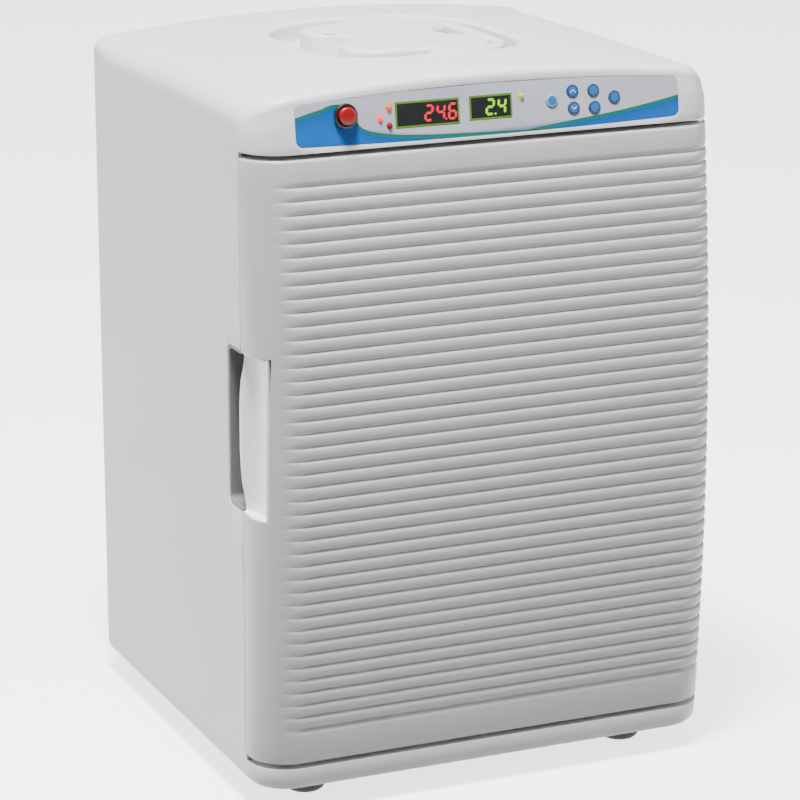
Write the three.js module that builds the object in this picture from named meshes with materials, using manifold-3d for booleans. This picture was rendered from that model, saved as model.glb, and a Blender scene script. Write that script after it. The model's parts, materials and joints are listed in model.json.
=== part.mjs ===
// A benchtop thermoelectric incubator of about 20 litres: a moulded cabinet with a domed top, a front door
// with horizontal ribs, a control fascia above it, and the chamber, cooling pack and electronics inside.
// Millimetres. +Z is up, the door faces -Y, and the origin is on the floor below the middle of the cabinet.

import * as THREE from 'three';
import { mergeVertices } from 'three/addons/utils/BufferGeometryUtils.js';
import Module from 'manifold-3d';

const wasm = await Module();
wasm.setup();

// ---- Driving dimensions ----

// Cabinet
const cabinetWidth = 330;
const cabinetDepth = 328;        // from the door's foremost point to the rear edge
const cabinetHeight = 483;       // from the floor to the ridge of the domed top
const footHeight = 15.8;         // floor to the underside of the cabinet
const skin = 3;                  // wall of the moulded cabinet
const cornerRadius = 27;         // upright front corners
const rearCornerRadius = 13;
const shoulderRadius = 24;       // side edges of the top
const frontLipRadius = 6;        // front edge of the top
const rearLipRadius = 15;
const bottomLipRadius = 8;
const sideDrop = 11;             // fall of the top from its ridge to its sides
const rearDrop = 4;              // and to its rear edge
const ridgeStart = -40;          // the top is level from the front to here

// Door
const doorReach = 39;            // the door's foremost point, ahead of the cabinet's front face
const bulgeRadius = 1818;        // upright barrel curve of the door, plinth and fascia
const bulgeHeight = 209;         // height of the foremost point
const plinthTop = 32.2;
const doorHeight = 401.6;
const doorGap = 3;               // above and below the door
const seamGap = 1;               // between the door's rear edge and the cabinet
const doorSkin = 2.5;
const ribCount = 42;
const ribPitch = 8.76;
const ribDepth = 1.3;
const firstRibDrop = 17.7;       // from the door's top edge to the first groove
const ribFade = 18;              // length over which a groove dies out beside the grip

// Hinge
const hingeSide = 10;            // hinge axis to the door's side
const hingeBack = 13;            // hinge axis to the cabinet's front face
const hingePinRadius = 2.3;
const hingePinDepth = 12;        // reach of the pin into the door
const hingePlate = 1.5;

// Grip
const gripHeight = 108;
const gripMiddle = 257;
const gripPocketLength = 23.5;
const gripPocketDepth = 13;
const gripPlateThickness = 2.5;
const gripScoop = 7.5;           // depth of the scoop below the cabinet's side
const gripLip = 5;               // how far the lip's middle reaches back over the pocket

// Chamber
const chamberWidth = 236;
const chamberHeight = 348;
const chamberDepth = 205;
const chamberMiddle = 237;
const linerWall = 2;
const flangeThickness = 2.5;
const foam = 24;
const shelfLevels = [118, 178, 238, 298, 358];
const shelfThickness = 4;
const shelfDepth = 150;
const rackLedge = 7;

// Fascia
const panelWidth = 269.4;
const panelHeight = 26.5;        // at its ends
const panelArch = 4.5;           // extra height in its middle
const panelSag = 1.8;
const panelMiddle = 457;         // height of the fascia's reference line
const panelThickness = 1;
const buttonRadius = 5.8;
const buttonTravel = 2.5;
const keyRadius = 4.2;
const keyTravel = 0.8;
const ledRadius = 2;

// Carry handle
const recessY = 9;               // middle of the recess
const recessHalfWidth = 74;
const recessHalfDepth = 82;
const recessRadius = 52;
const recessFloor = 17.5;        // below the middle of the top
const islandHalfWidth = 50;
const islandHalfDepth = 61;
const islandRadius = 20;
const notchRadius = 22;
const notchOffset = 4;           // notch centre outside the island's side
const handleHalfWidth = 63;
const handleClearance = 1.4;
const pivotDrop = 9.5;           // pivot axis below the middle of the top
const pivotRadius = 2.5;
const handleEndRadius = 7.4;

// Rear
const fanSize = 92;
const fanDepth = 25;
const heatsinkSize = 128;
const rearPanelThickness = 1.5;
const clearance = 0.3;           // gap between pieces that touch

// ---- Places that follow from them ----

const half = cabinetWidth / 2;
const frontY = -cabinetDepth / 2;
const rearY = cabinetDepth / 2;
const seamY = frontY + doorReach;
const doorRear = seamY - seamGap;
const doorBottom = plinthTop + doorGap;
const doorTop = doorBottom + doorHeight;
const fasciaBottom = doorTop + doorGap;
const middleY = (seamY + rearY) / 2;
const hingeX = half - hingeSide;
const hingeY = seamY - hingeBack;
const lean = Math.atan((panelMiddle - bulgeHeight) / bulgeRadius);
const pivotHeight = cabinetHeight - pivotDrop;
const chamberFront = seamY;
const chamberRear = seamY + flangeThickness + chamberDepth;
const chamberBottom = chamberMiddle - chamberHeight / 2;
const chamberTop = chamberMiddle + chamberHeight / 2;

// ---- Materials ----

function finish(colour, roughness, metalness = 0) {
  return new THREE.MeshStandardMaterial({ color: colour, roughness, metalness });
}

const whiteAbs = finish(0xdcdcdb, 0.45);
const doorAbs = finish(0xcfcfcf, 0.45);
const gripAbs = finish(0xf0f0f0, 0.3);
const pocketAbs = finish(0x8a8a8a, 0.6);
const linerPlastic = finish(0xeeeeec, 0.4);
const foamYellow = finish(0xe6d9a8, 0.95);
const blackRubber = finish(0x151515, 0.85);
const gasketGrey = finish(0x9a9da0, 0.8);
const steel = finish(0xb8bcc0, 0.3, 1);
const aluminium = finish(0xc6c9cc, 0.4, 1);
const paintedSteel = finish(0xd2d3d2, 0.5, 0.2);
const blackPlastic = finish(0x1c1c1e, 0.5);
const redPlastic = finish(0xc8323c, 0.35);
const overlayFilm = finish(0xb9bcc8, 0.35);
const darkWindow = finish(0x2a2c2e, 0.2);
const bluePlastic = finish(0x2f6fae, 0.35);
const paleBlue = finish(0x8fb4d8, 0.35);
const orangeLens = finish(0xe88a2a, 0.3);
const redLens = finish(0xd03030, 0.3);
const greenLens = finish(0xb8d838, 0.3);
const greenBoard = finish(0x1f6b3a, 0.6);
const ceramic = finish(0xf4f4f0, 0.6);

// ---- Making solids ----

function solid(geometry) {
  const bare = geometry.index ? geometry.toNonIndexed() : geometry.clone();
  bare.deleteAttribute('normal');
  bare.deleteAttribute('uv');
  const merged = mergeVertices(bare, 1e-4);
  return new wasm.Manifold(new wasm.Mesh({
    numProp: 3,
    vertProperties: new Float32Array(merged.attributes.position.array),
    triVerts: new Uint32Array(merged.index.array),
  }));
}

function box(x0, x1, y0, y1, z0, z1) {
  const geometry = new THREE.BoxGeometry(x1 - x0, y1 - y0, z1 - z0);
  geometry.translate((x0 + x1) / 2, (y0 + y1) / 2, (z0 + z1) / 2);
  return solid(geometry);
}

// Axes of an outline's plane: its first and second coordinates, and the way it is extruded.
const outlineAxes = {
  x: [new THREE.Vector3(0, 1, 0), new THREE.Vector3(0, 0, 1), new THREE.Vector3(1, 0, 0)],
  y: [new THREE.Vector3(1, 0, 0), new THREE.Vector3(0, 0, 1), new THREE.Vector3(0, -1, 0)],
  z: [new THREE.Vector3(1, 0, 0), new THREE.Vector3(0, 1, 0), new THREE.Vector3(0, 0, 1)],
};

function prism(shape, axis, from, to, curveSegments = 6) {
  const geometry = new THREE.ExtrudeGeometry(shape, { depth: to - from, bevelEnabled: false, curveSegments });
  const [first, second, along] = outlineAxes[axis];
  const place = new THREE.Matrix4().makeBasis(first, second, along);
  const start = along.clone().multiplyScalar(axis === 'y' ? -to : from);
  geometry.applyMatrix4(place.setPosition(start));
  return solid(geometry);
}

function roundedRect(x0, x1, y0, y1, radius) {
  const shape = new THREE.Shape();
  shape.moveTo(x0 + radius, y0);
  shape.lineTo(x1 - radius, y0);
  shape.absarc(x1 - radius, y0 + radius, radius, -Math.PI / 2, 0);
  shape.lineTo(x1, y1 - radius);
  shape.absarc(x1 - radius, y1 - radius, radius, 0, Math.PI / 2);
  shape.lineTo(x0 + radius, y1);
  shape.absarc(x0 + radius, y1 - radius, radius, Math.PI / 2, Math.PI);
  shape.lineTo(x0, y0 + radius);
  shape.absarc(x0 + radius, y0 + radius, radius, Math.PI, 1.5 * Math.PI);
  return shape;
}

function disc(x, y, radius) {
  const shape = new THREE.Shape();
  shape.absarc(x, y, radius, 0, 2 * Math.PI);
  return shape;
}

function rod(axis, a, b, radius, from, to, curveSegments = 12) {
  return prism(disc(a, b, radius), axis, from, to, curveSegments);
}

// A turned piece about Z from a profile of [radius, height] points that starts and ends on the axis.
function turned(profile, segments = 20) {
  const points = profile.map(([radius, height]) => new THREE.Vector2(radius, height));
  return solid(new THREE.LatheGeometry(points, segments).rotateX(Math.PI / 2));
}

// A closed solid through rings of equal numbers of points, each seen counter-clockwise from above.
function stack(rings) {
  const count = rings[0].length;
  const points = rings.flat();
  const centre = (ring) => ring.reduce((sum, p) => sum.add(p), new THREE.Vector3()).divideScalar(count);
  points.push(centre(rings[0]), centre(rings[rings.length - 1]));
  const index = [];
  for (let level = 0; level < rings.length - 1; level++) {
    for (let i = 0; i < count; i++) {
      const a = level * count + i;
      const b = level * count + (i + 1) % count;
      index.push(a, b, b + count, a, b + count, a + count);
    }
  }
  const last = (rings.length - 1) * count;
  for (let i = 0; i < count; i++) {
    index.push(points.length - 2, (i + 1) % count, i);
    index.push(points.length - 1, last + i, last + (i + 1) % count);
  }
  const geometry = new THREE.BufferGeometry().setFromPoints(points);
  geometry.setIndex(index);
  return solid(geometry);
}

const part = new THREE.Group();

function addPiece(name, shape, material, parent = part) {
  const mesh = shape.getMesh();
  const geometry = new THREE.BufferGeometry();
  geometry.setAttribute('position', new THREE.BufferAttribute(Float32Array.from(mesh.vertProperties), 3));
  geometry.setIndex(new THREE.BufferAttribute(Uint32Array.from(mesh.triVerts), 1));
  const piece = new THREE.Mesh(geometry, material);
  piece.name = name;
  parent.add(piece);
  return piece;
}

function addAt(name, shape, material, x, y, z, parent = part) {
  addPiece(name, shape, material, parent).position.set(x, y, z);
}

// ---- Outer form shared by the cabinet and the door ----

function frontAt(z) {
  return frontY + (z - bulgeHeight) ** 2 / (2 * bulgeRadius);
}

function domeAt(x, y) {
  const back = Math.max(y - ridgeStart, 0) / (rearY - ridgeStart);
  return cabinetHeight - sideDrop * (x / half) ** 2 - rearDrop * back ** 2;
}

// Plan outline with its outward direction at each point: corner arcs with points between them.
function planOutline(side, front, rear, frontRadius, rearRadius) {
  const points = [];
  const arc = (cx, cy, radius, startAngle, steps) => {
    for (let i = 0; i <= steps; i++) {
      const angle = startAngle + (i / steps) * Math.PI / 2;
      const out = new THREE.Vector2(Math.cos(angle), Math.sin(angle));
      points.push({ x: cx + radius * out.x, y: cy + radius * out.y, out });
    }
  };
  const run = (x, y, outX, outY) => points.push({ x, y, out: new THREE.Vector2(outX, outY) });
  const inner = side - frontRadius;
  arc(-side + frontRadius, front + frontRadius, frontRadius, Math.PI, 4);
  for (const share of [-0.6, 0, 0.6]) {
    run(inner * share, front, 0, -1);
  }
  arc(side - frontRadius, front + frontRadius, frontRadius, 1.5 * Math.PI, 4);
  for (const share of [0.35, 0.7]) {
    run(side, front + frontRadius + (rear - rearRadius - front - frontRadius) * share, 1, 0);
  }
  arc(side - rearRadius, rear - rearRadius, rearRadius, 0, 3);
  for (const share of [0.6, 0, -0.6]) {
    run(inner * share, rear, 0, 1);
  }
  arc(-side + rearRadius, rear - rearRadius, rearRadius, Math.PI / 2, 3);
  for (const share of [0.7, 0.35]) {
    run(-side, front + frontRadius + (rear - rearRadius - front - frontRadius) * share, -1, 0);
  }
  return points;
}

// The whole outer form, pushed in by an even distance.
function outerForm(inset) {
  const outlineAt = (z) => planOutline(
    half - inset, frontAt(z) + inset, rearY - inset, cornerRadius - inset, rearCornerRadius - inset);
  const rings = [];
  const lip = bottomLipRadius - inset / 2;
  for (const turn of [0, 0.5, 1]) {
    const angle = turn * Math.PI / 2;
    const z = footHeight + inset + lip * (1 - Math.cos(angle));
    const pull = lip * (1 - Math.sin(angle));
    rings.push(outlineAt(z).map((p) => new THREE.Vector3(p.x - p.out.x * pull, p.y - p.out.y * pull, z)));
  }
  const levels = 5;
  const upright = domeAt(half, rearY) - shoulderRadius - footHeight - bottomLipRadius;
  for (let i = 1; i <= levels; i++) {
    const z = footHeight + bottomLipRadius + upright * (i / (levels + 0.5));
    rings.push(outlineAt(z).map((p) => new THREE.Vector3(p.x, p.y, z)));
  }
  for (const turn of [0, 0.33, 0.67, 1]) {
    const angle = turn * Math.PI / 2;
    const base = outlineAt(cabinetHeight - frontLipRadius);
    rings.push(base.map((p) => {
      const endRadius = p.out.y < 0 ? frontLipRadius : rearLipRadius;
      const radius = shoulderRadius * p.out.x ** 2 + endRadius * p.out.y ** 2 - inset / 2;
      const x = p.x - p.out.x * radius * (1 - Math.cos(angle));
      const y = p.y - p.out.y * radius * (1 - Math.cos(angle));
      return new THREE.Vector3(x, y, domeAt(x, y) - inset - radius * (1 - Math.sin(angle)));
    }));
  }
  const rim = rings[rings.length - 1];
  for (const share of [0.75, 0.45, 0.03]) {
    rings.push(rim.map((p) => {
      const x = p.x * share;
      const y = middleY + (p.y - middleY) * share;
      return new THREE.Vector3(x, y, domeAt(x, y) - inset);
    }));
  }
  return stack(rings);
}

const wide = half + 20;
const outer = outerForm(0);

// ---- Carry handle recess: a ring-shaped trough around an island with two finger notches ----

const recessOutline = (grow) => roundedRect(
  -recessHalfWidth - grow, recessHalfWidth + grow,
  recessY - recessHalfDepth - grow, recessY + recessHalfDepth + grow, recessRadius + grow);
const islandOutline = (grow) => roundedRect(
  -islandHalfWidth - grow, islandHalfWidth + grow,
  recessY - islandHalfDepth - grow, recessY + islandHalfDepth + grow, islandRadius + grow);

function island(grow, from, to) {
  const notch = (x) => rod('z', x, recessY, notchRadius - grow, from - 1, to + 1, 8);
  return prism(islandOutline(grow), 'z', from, to, 3)
    .subtract(notch(-islandHalfWidth - notchOffset))
    .subtract(notch(islandHalfWidth + notchOffset));
}

const troughFloor = cabinetHeight - recessFloor;
const aboveTop = cabinetHeight + 10;
const trough = prism(recessOutline(0), 'z', troughFloor, aboveTop, 5).subtract(island(0, troughFloor - 1, aboveTop));
const troughShell = prism(recessOutline(skin), 'z', troughFloor - skin, aboveTop, 5)
  .subtract(island(-skin, troughFloor - skin - 1, aboveTop + 1));
const pivotBore = rod('y', 0, pivotHeight, pivotRadius + clearance,
  recessY - recessHalfDepth - skin - 1, recessY + recessHalfDepth + skin + 1, 6);
const trayBlock = (grow) => prism(recessOutline(skin + grow), 'z', troughFloor - skin, aboveTop, 5);

// ---- Fascia frame: x across, y up the slope, z out of the surface ----

const fascia = new THREE.Group();
fascia.position.set(0, frontAt(panelMiddle), panelMiddle);
fascia.rotation.x = Math.PI / 2 - lean;
part.add(fascia);
fascia.updateMatrixWorld();

function onFascia(shape) {
  return shape.transform(fascia.matrixWorld.toArray());
}

function panelOutline(grow) {
  const side = panelWidth / 2 + grow;
  const bottom = -13.2 - grow;
  const top = bottom + panelHeight + 2 * grow;
  const radius = 5;
  const shape = new THREE.Shape();
  shape.moveTo(-side + radius, bottom);
  shape.quadraticCurveTo(0, bottom - 2 * panelSag, side - radius, bottom);
  shape.absarc(side - radius, bottom + radius, radius, -Math.PI / 2, 0);
  shape.lineTo(side, top - radius);
  shape.absarc(side - radius, top - radius, radius, 0, Math.PI / 2);
  shape.quadraticCurveTo(0, top + 2 * panelArch, -side + radius, top);
  shape.absarc(-side + radius, top - radius, radius, Math.PI / 2, Math.PI);
  shape.lineTo(-side, bottom + radius);
  shape.absarc(-side + radius, bottom + radius, radius, Math.PI, 1.5 * Math.PI);
  return shape;
}

const button = { x: -101, y: 4 };
const leds = {
  led_heat: { x: -71, y: 7.4, material: orangeLens },
  led_power: { x: -77.5, y: 1.2, material: redLens },
  led_cool: { x: -71, y: -4, material: redLens },
  led_timer: { x: 21.5, y: 8, material: greenLens },
};
const keys = {
  key_select: { x: 43, y: 3, material: paleBlue },
  key_up: { x: 58, y: 8.2, material: bluePlastic },
  key_down: { x: 58.5, y: -2.8, material: bluePlastic },
  key_program: { x: 73, y: 7.6, material: bluePlastic },
  key_light: { x: 73.5, y: -3.4, material: bluePlastic },
  key_start: { x: 88, y: 2.2, material: bluePlastic },
};
const displays = {
  temperature_display: { x: -44.6, y: 2, width: 44, height: 16 },
  timer_display: { x: -0.3, y: 2.6, width: 29.5, height: 15 },
};
const bezelRadius = 8;
const barrelRadius = 7;

// Holes that the fascia's pieces pass through.
function fasciaHoles(from, to) {
  let holes = rod('z', button.x, button.y, barrelRadius + clearance, from, to, 8);
  for (const led of Object.values(leds)) {
    holes = holes.add(rod('z', led.x, led.y, ledRadius + clearance, from, to, 4));
  }
  for (const key of Object.values(keys)) {
    holes = holes.add(rod('z', key.x, key.y, keyRadius + clearance, from, to, 6));
  }
  for (const view of Object.values(displays)) {
    const w = view.width / 2 + clearance;
    const h = view.height / 2 + clearance;
    holes = holes.add(box(view.x - w, view.x + w, view.y - h, view.y + h, from, to));
  }
  return holes;
}

// ---- Cabinet shell ----

const pocketLow = gripMiddle - gripHeight / 2;
const pocketHigh = gripMiddle + gripHeight / 2;
const pocketBack = seamY + gripPocketLength;
const pocketCorner = 7;
const pocketOutline = (grow) => roundedRect(
  seamY - 20, pocketBack + grow, pocketLow - grow, pocketHigh + grow, pocketCorner + grow);

const windowSide = half - 19;
const windowLow = 34;
const windowHigh = 444;

function cabinetShell() {
  const doorSpace = box(-wide, wide, frontY - 20, seamY, plinthTop, fasciaBottom);
  const doorSpaceWall = box(-wide, wide, frontY - 20, seamY, plinthTop - skin, fasciaBottom + skin);
  const hollow = outerForm(skin).subtract(doorSpaceWall);
  const frontOpening = box(-half + skin, half - skin, seamY - 1, seamY + 8, plinthTop + 3, fasciaBottom - 3);
  const rearWindow = box(-windowSide, windowSide, rearY - 2 * skin, rearY + 5, windowLow, windowHigh);
  const panelSeat = onFascia(prism(panelOutline(clearance), 'z', -panelThickness - clearance, 5, 4));
  return outer
    .subtract(doorSpace)
    .subtract(hollow)
    .subtract(frontOpening)
    .subtract(rearWindow)
    .subtract(trayBlock(0))
    .subtract(panelSeat)
    .subtract(onFascia(fasciaHoles(-12, 2)))
    .subtract(prism(pocketOutline(0), 'x', -half - 5, -half + gripPocketDepth));
}

addPiece('cabinet_shell', cabinetShell(), whiteAbs);

// Tray set into the top: the trough's walls and floor, and the island in its middle.
const tray = outer
  .intersect(trayBlock(-clearance))
  .subtract(outerForm(skin).subtract(troughShell))
  .subtract(trough)
  .subtract(pivotBore);
addPiece('handle_tray', tray, whiteAbs);

// Domed rubber feet under the four corners.
const footRadius = 14;
const footTop = footHeight - clearance;
const foot = turned([
  [0, 0], [footRadius - 5, 0], [footRadius - 1.5, 2.5], [footRadius, 6], [footRadius, footTop], [0, footTop],
]);
const footX = half - 47;
const footFront = seamY + 13;
const footRear = rearY - 32;
addAt('foot_front_left', foot, blackRubber, -footX, footFront, 0);
addAt('foot_front_right', foot, blackRubber, footX, footFront, 0);
addAt('foot_rear_left', foot, blackRubber, -footX, footRear, 0);
addAt('foot_rear_right', foot, blackRubber, footX, footRear, 0);

// ---- Carry handle: half a ring that lies in the right half of the trough ----

function carryHandle() {
  const low = troughFloor + handleClearance;
  const reach = recessHalfDepth - handleClearance;
  const outline = roundedRect(-handleHalfWidth, handleHalfWidth, recessY - reach, recessY + reach, recessRadius - 4);
  const ring = prism(outline, 'z', low, aboveTop, 5)
    .subtract(prism(islandOutline(handleClearance), 'z', low - 1, aboveTop + 1, 3));
  const rightHalf = ring.intersect(box(0, wide, frontY, rearY, 0, aboveTop));
  const underTop = rightHalf.intersect(outer);
  const hub = rod('y', 0, pivotHeight, handleEndRadius,
    recessY - recessHalfDepth + handleClearance, recessY + recessHalfDepth - handleClearance, 8);
  const hubs = hub.subtract(box(-wide, wide, recessY - islandHalfDepth - handleClearance,
    recessY + islandHalfDepth + handleClearance, 0, aboveTop));
  return underTop.add(hubs).subtract(pivotBore);
}
addPiece('carry_handle', carryHandle(), whiteAbs);

// Steel pins through the island's end, the handle's end and the trough's wall.
const pinInner = islandHalfDepth - skin + 0.5;
const pinOuter = recessHalfDepth + skin - 0.5;
const pivotPin = (from, to) => rod('y', 0, pivotHeight, pivotRadius, recessY + from, recessY + to, 6);
addPiece('handle_pin_front', pivotPin(-pinOuter, -pinInner), steel);
addPiece('handle_pin_rear', pivotPin(pinInner, pinOuter), steel);

// ---- Fascia pieces ----

const overlay = prism(panelOutline(0), 'z', -panelThickness, 0, 4).subtract(fasciaHoles(-3, 2));
addPiece('fascia_overlay', overlay, overlayFilm, fascia);

const bezelTop = 2;
const barrelEnd = -16;
const bezel = turned([
  [0, barrelEnd], [barrelRadius, barrelEnd], [barrelRadius, clearance], [bezelRadius, clearance],
  [bezelRadius, bezelTop - 0.8], [bezelRadius - 0.8, bezelTop], [buttonRadius + clearance, bezelTop],
  [buttonRadius + clearance, barrelEnd + 2], [0, barrelEnd + 2],
]);
addAt('power_button_bezel', bezel, blackPlastic, button.x, button.y, 0, fascia);

const buttonCap = turned([
  [0, barrelEnd + 2 + buttonTravel + 1], [buttonRadius, barrelEnd + 2 + buttonTravel + 1],
  [buttonRadius, 4.6], [buttonRadius - 1.4, 6], [0, 6.4],
]);
addAt('power_button', buttonCap, redPlastic, button.x, button.y, 0, fascia);

for (const [name, view] of Object.entries(displays)) {
  const w = view.width / 2;
  const h = view.height / 2;
  addAt(name, box(-w, w, -h, h, -1.2, 0.2), darkWindow, view.x, view.y, 0, fascia);
}

const boardFace = -6.5;
const led = turned([[0, boardFace + clearance], [ledRadius, boardFace + clearance], [ledRadius, 0.4],
  [0, 1.3]], 8);
for (const [name, lamp] of Object.entries(leds)) {
  addAt(name, led, lamp.material, lamp.x, lamp.y, 0, fascia);
}

const key = turned([[0, boardFace + keyTravel + 0.5], [1.8, boardFace + keyTravel + 0.5], [1.8, -1.4],
  [keyRadius, -1.4], [keyRadius, 0.2], [keyRadius - 1, 0.7], [0, 0.8]], 12);
for (const [name, place] of Object.entries(keys)) {
  addAt(name, key, place.material, place.x, place.y, 0, fascia);
}

// Display board behind the fascia, with a block under each window.
function displayBoard() {
  let board = box(-85, 100, -10, 13, boardFace - 1.6, boardFace);
  for (const view of Object.values(displays)) {
    const w = view.width / 2 - 2;
    const h = view.height / 2 - 1;
    board = board.add(box(view.x - w, view.x + w, view.y - h, view.y + h, boardFace - 0.5, -1.8));
  }
  return board;
}
addPiece('display_board', displayBoard(), greenBoard, fascia);

// ---- Chamber ----

const linerOutline = (grow) => roundedRect(
  -chamberWidth / 2 - grow, chamberWidth / 2 + grow, chamberBottom - grow, chamberTop + grow, 12 + grow);
const bossHalf = 21;
const coldMiddle = 248;

// Flat frame that closes the gap between the chamber and the cabinet's front edge; the gasket seats on it.
function frontFrame() {
  const pocketNotch = box(-wide, -half + gripPocketDepth + 4, seamY - 5, pocketBack + 5,
    pocketLow - 4, pocketHigh + 4);
  return box(-half + skin + clearance, half - skin - clearance, seamY, seamY + flangeThickness,
    doorBottom + clearance, doorTop - clearance)
    .subtract(prism(linerOutline(linerWall + clearance), 'y', seamY - 5, seamY + 10))
    .subtract(pocketNotch);
}
addPiece('front_frame', frontFrame(), linerPlastic);

function chamberLiner() {
  return prism(linerOutline(linerWall), 'y', seamY, chamberRear + linerWall)
    .subtract(prism(linerOutline(0), 'y', seamY - 5, chamberRear))
    .subtract(box(-bossHalf - clearance, bossHalf + clearance, chamberRear - 5, chamberRear + 10,
      coldMiddle - bossHalf - clearance, coldMiddle + bossHalf + clearance));
}
addPiece('chamber_liner', chamberLiner(), linerPlastic);

// Foam jacket around the liner, open at the front.
const foamRear = chamberRear + linerWall + clearance + foam - 4;
function cabinetFoam() {
  const inside = linerOutline(linerWall + clearance);
  const front = seamY + flangeThickness + clearance;
  return prism(linerOutline(linerWall + foam), 'y', front, foamRear)
    .subtract(prism(inside, 'y', front - 5, chamberRear + linerWall + clearance))
    .subtract(box(-bossHalf - clearance, bossHalf + clearance, chamberRear, foamRear + 5,
      coldMiddle - bossHalf - clearance, coldMiddle + bossHalf + clearance));
}
addPiece('cabinet_insulation', cabinetFoam(), foamYellow);

// Shelf racks on the side walls: an upright plate with a ledge at each level.
const rackPlate = 2.5;
const rackFront = chamberFront + 12;
const rackRear = chamberFront + 12 + shelfDepth + 8;
function shelfRack() {
  const low = shelfLevels[0] - 14;
  const high = shelfLevels[shelfLevels.length - 1] + 14;
  let rack = box(0, rackPlate, rackFront, rackRear, low, high);
  for (const level of shelfLevels) {
    rack = rack.add(box(rackPlate - 0.5, rackPlate + rackLedge, rackFront, rackRear, level - 3, level));
  }
  return rack;
}
const rackX = chamberWidth / 2 - clearance;
addAt('shelf_rack_left', shelfRack(), linerPlastic, -rackX, 0, 0);
addPiece('shelf_rack_right', shelfRack().mirror([1, 0, 0]).translate([rackX, 0, 0]), linerPlastic);

// Wire shelf: a frame with rods from front to rear and two cross rods.
function wireShelf() {
  const side = chamberWidth / 2 - clearance - rackPlate - 1;
  const rail = shelfThickness;
  let shelf = box(-side, side, 0, shelfDepth, 0, shelfThickness)
    .subtract(box(-side + rail, side - rail, rail, shelfDepth - rail, -1, shelfThickness + 1));
  const rods = 11;
  for (let i = 1; i <= rods; i++) {
    const x = -side + (2 * side) * i / (rods + 1);
    shelf = shelf.add(box(x - 1.2, x + 1.2, rail - 1, shelfDepth - rail + 1, 1, shelfThickness - 0.5));
  }
  return shelf.add(box(-side + 1, side - 1, shelfDepth / 2 - 1.5, shelfDepth / 2 + 1.5, 0.5, 3));
}
const shelfFront = rackFront + 4;
addAt('shelf_lower', wireShelf(), steel, 0, shelfFront, shelfLevels[1] + clearance);
addAt('shelf_upper', wireShelf(), steel, 0, shelfFront, shelfLevels[3] + clearance);

// ---- Cooling pack, from the chamber to the rear ----

const coverDepth = 33;
const coverHalf = 58;
const coverFront = chamberRear - clearance - coverDepth;

// Slotted cover over the chamber fan.
function fanCover() {
  let cover = box(-coverHalf, coverHalf, coverFront, chamberRear - clearance,
    coldMiddle - coverHalf, coldMiddle + coverHalf)
    .subtract(box(-coverHalf + 2.5, coverHalf - 2.5, coverFront + 2.5, chamberRear + 1,
      coldMiddle - coverHalf + 2.5, coldMiddle + coverHalf - 2.5));
  for (let row = -4; row <= 4; row++) {
    const reach = Math.sqrt(40 ** 2 - (row * 8.5) ** 2);
    const z = coldMiddle + row * 8.5;
    cover = cover.subtract(box(-reach, reach, coverFront - 1, coverFront + 5, z - 2.2, z + 2.2));
  }
  for (const side of [-1, 1]) {
    const z = coldMiddle + side * coverHalf;
    cover = cover.subtract(box(-44, 44, coverFront + 12, coverFront + 28, z - 4, z + 4));
  }
  return cover;
}
addPiece('chamber_fan_cover', fanCover(), linerPlastic);

// A square fan frame with a round duct and three arms that carry the motor, front face at y = 0.
function fanFrame(size, depth, hubRadius) {
  const duct = size / 2 - 2.5;
  let arms = rod('y', 0, 0, hubRadius, depth - 3, depth, 10);
  for (let i = 0; i < 3; i++) {
    const arm = box(0, duct + 1, depth - 3, depth, -1.5, 1.5);
    arms = arms.add(arm.rotate([0, 120 * i + 30, 0]));
  }
  return prism(roundedRect(-size / 2, size / 2, -size / 2, size / 2, 4), 'y', 0, depth, 2)
    .subtract(rod('y', 0, 0, duct, -1, depth + 1, 16))
    .add(arms);
}

// A hub with seven pitched blades, front face at y = 0.
function fanRotor(size, depth, hubRadius) {
  const tip = size / 2 - 4;
  let rotor = rod('y', 0, 0, hubRadius, 0, depth, 10);
  for (let i = 0; i < 7; i++) {
    const blade = box(hubRadius - 2, tip, -0.7, 0.7, -depth * 0.55, depth * 0.55)
      .rotate([48, 0, 0])
      .translate([0, depth / 2, 0]);
    rotor = rotor.add(blade.rotate([0, 360 / 7 * i, 0]));
  }
  return rotor.intersect(rod('y', 0, 0, tip, 0, depth, 20));
}

const smallFan = 80;
const smallFanDepth = 15;
const smallFanFront = coverFront + 2.5 + clearance;
addAt('chamber_fan_frame', fanFrame(smallFan, smallFanDepth, 14), blackPlastic, 0, smallFanFront, coldMiddle);
addAt('chamber_fan_rotor', fanRotor(smallFan, smallFanDepth - 5, 13), blackPlastic, 0, smallFanFront + 1, coldMiddle);

// Heatsinks: a base plate with upright fins. The cold one has a block that passes through the foam.
function heatsink(size, finFrom, finTo, baseFrom, baseTo, fins) {
  let sink = box(-size / 2, size / 2, baseFrom, baseTo, -size / 2, size / 2);
  for (let i = 0; i < fins; i++) {
    const x = -size / 2 + 0.8 + (size - 1.6) * i / (fins - 1);
    sink = sink.add(box(x - 0.8, x + 0.8, finFrom, finTo, -size / 2, size / 2));
  }
  return sink;
}
const coldBaseFront = chamberRear - clearance - 4;
const moduleThickness = 4;
const coldBlockEnd = foamRear - moduleThickness;
const coldSink = heatsink(smallFan, smallFanFront + smallFanDepth + clearance, coldBaseFront + 1,
  coldBaseFront, chamberRear - clearance, 11)
  .add(box(-bossHalf, bossHalf, chamberRear - 1, coldBlockEnd, -bossHalf, bossHalf));
addAt('cold_side_heatsink', coldSink, aluminium, 0, 0, coldMiddle);

addAt('peltier_module', box(-20, 20, coldBlockEnd + clearance, foamRear, -20, 20), ceramic, 0, 0, coldMiddle);

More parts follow.
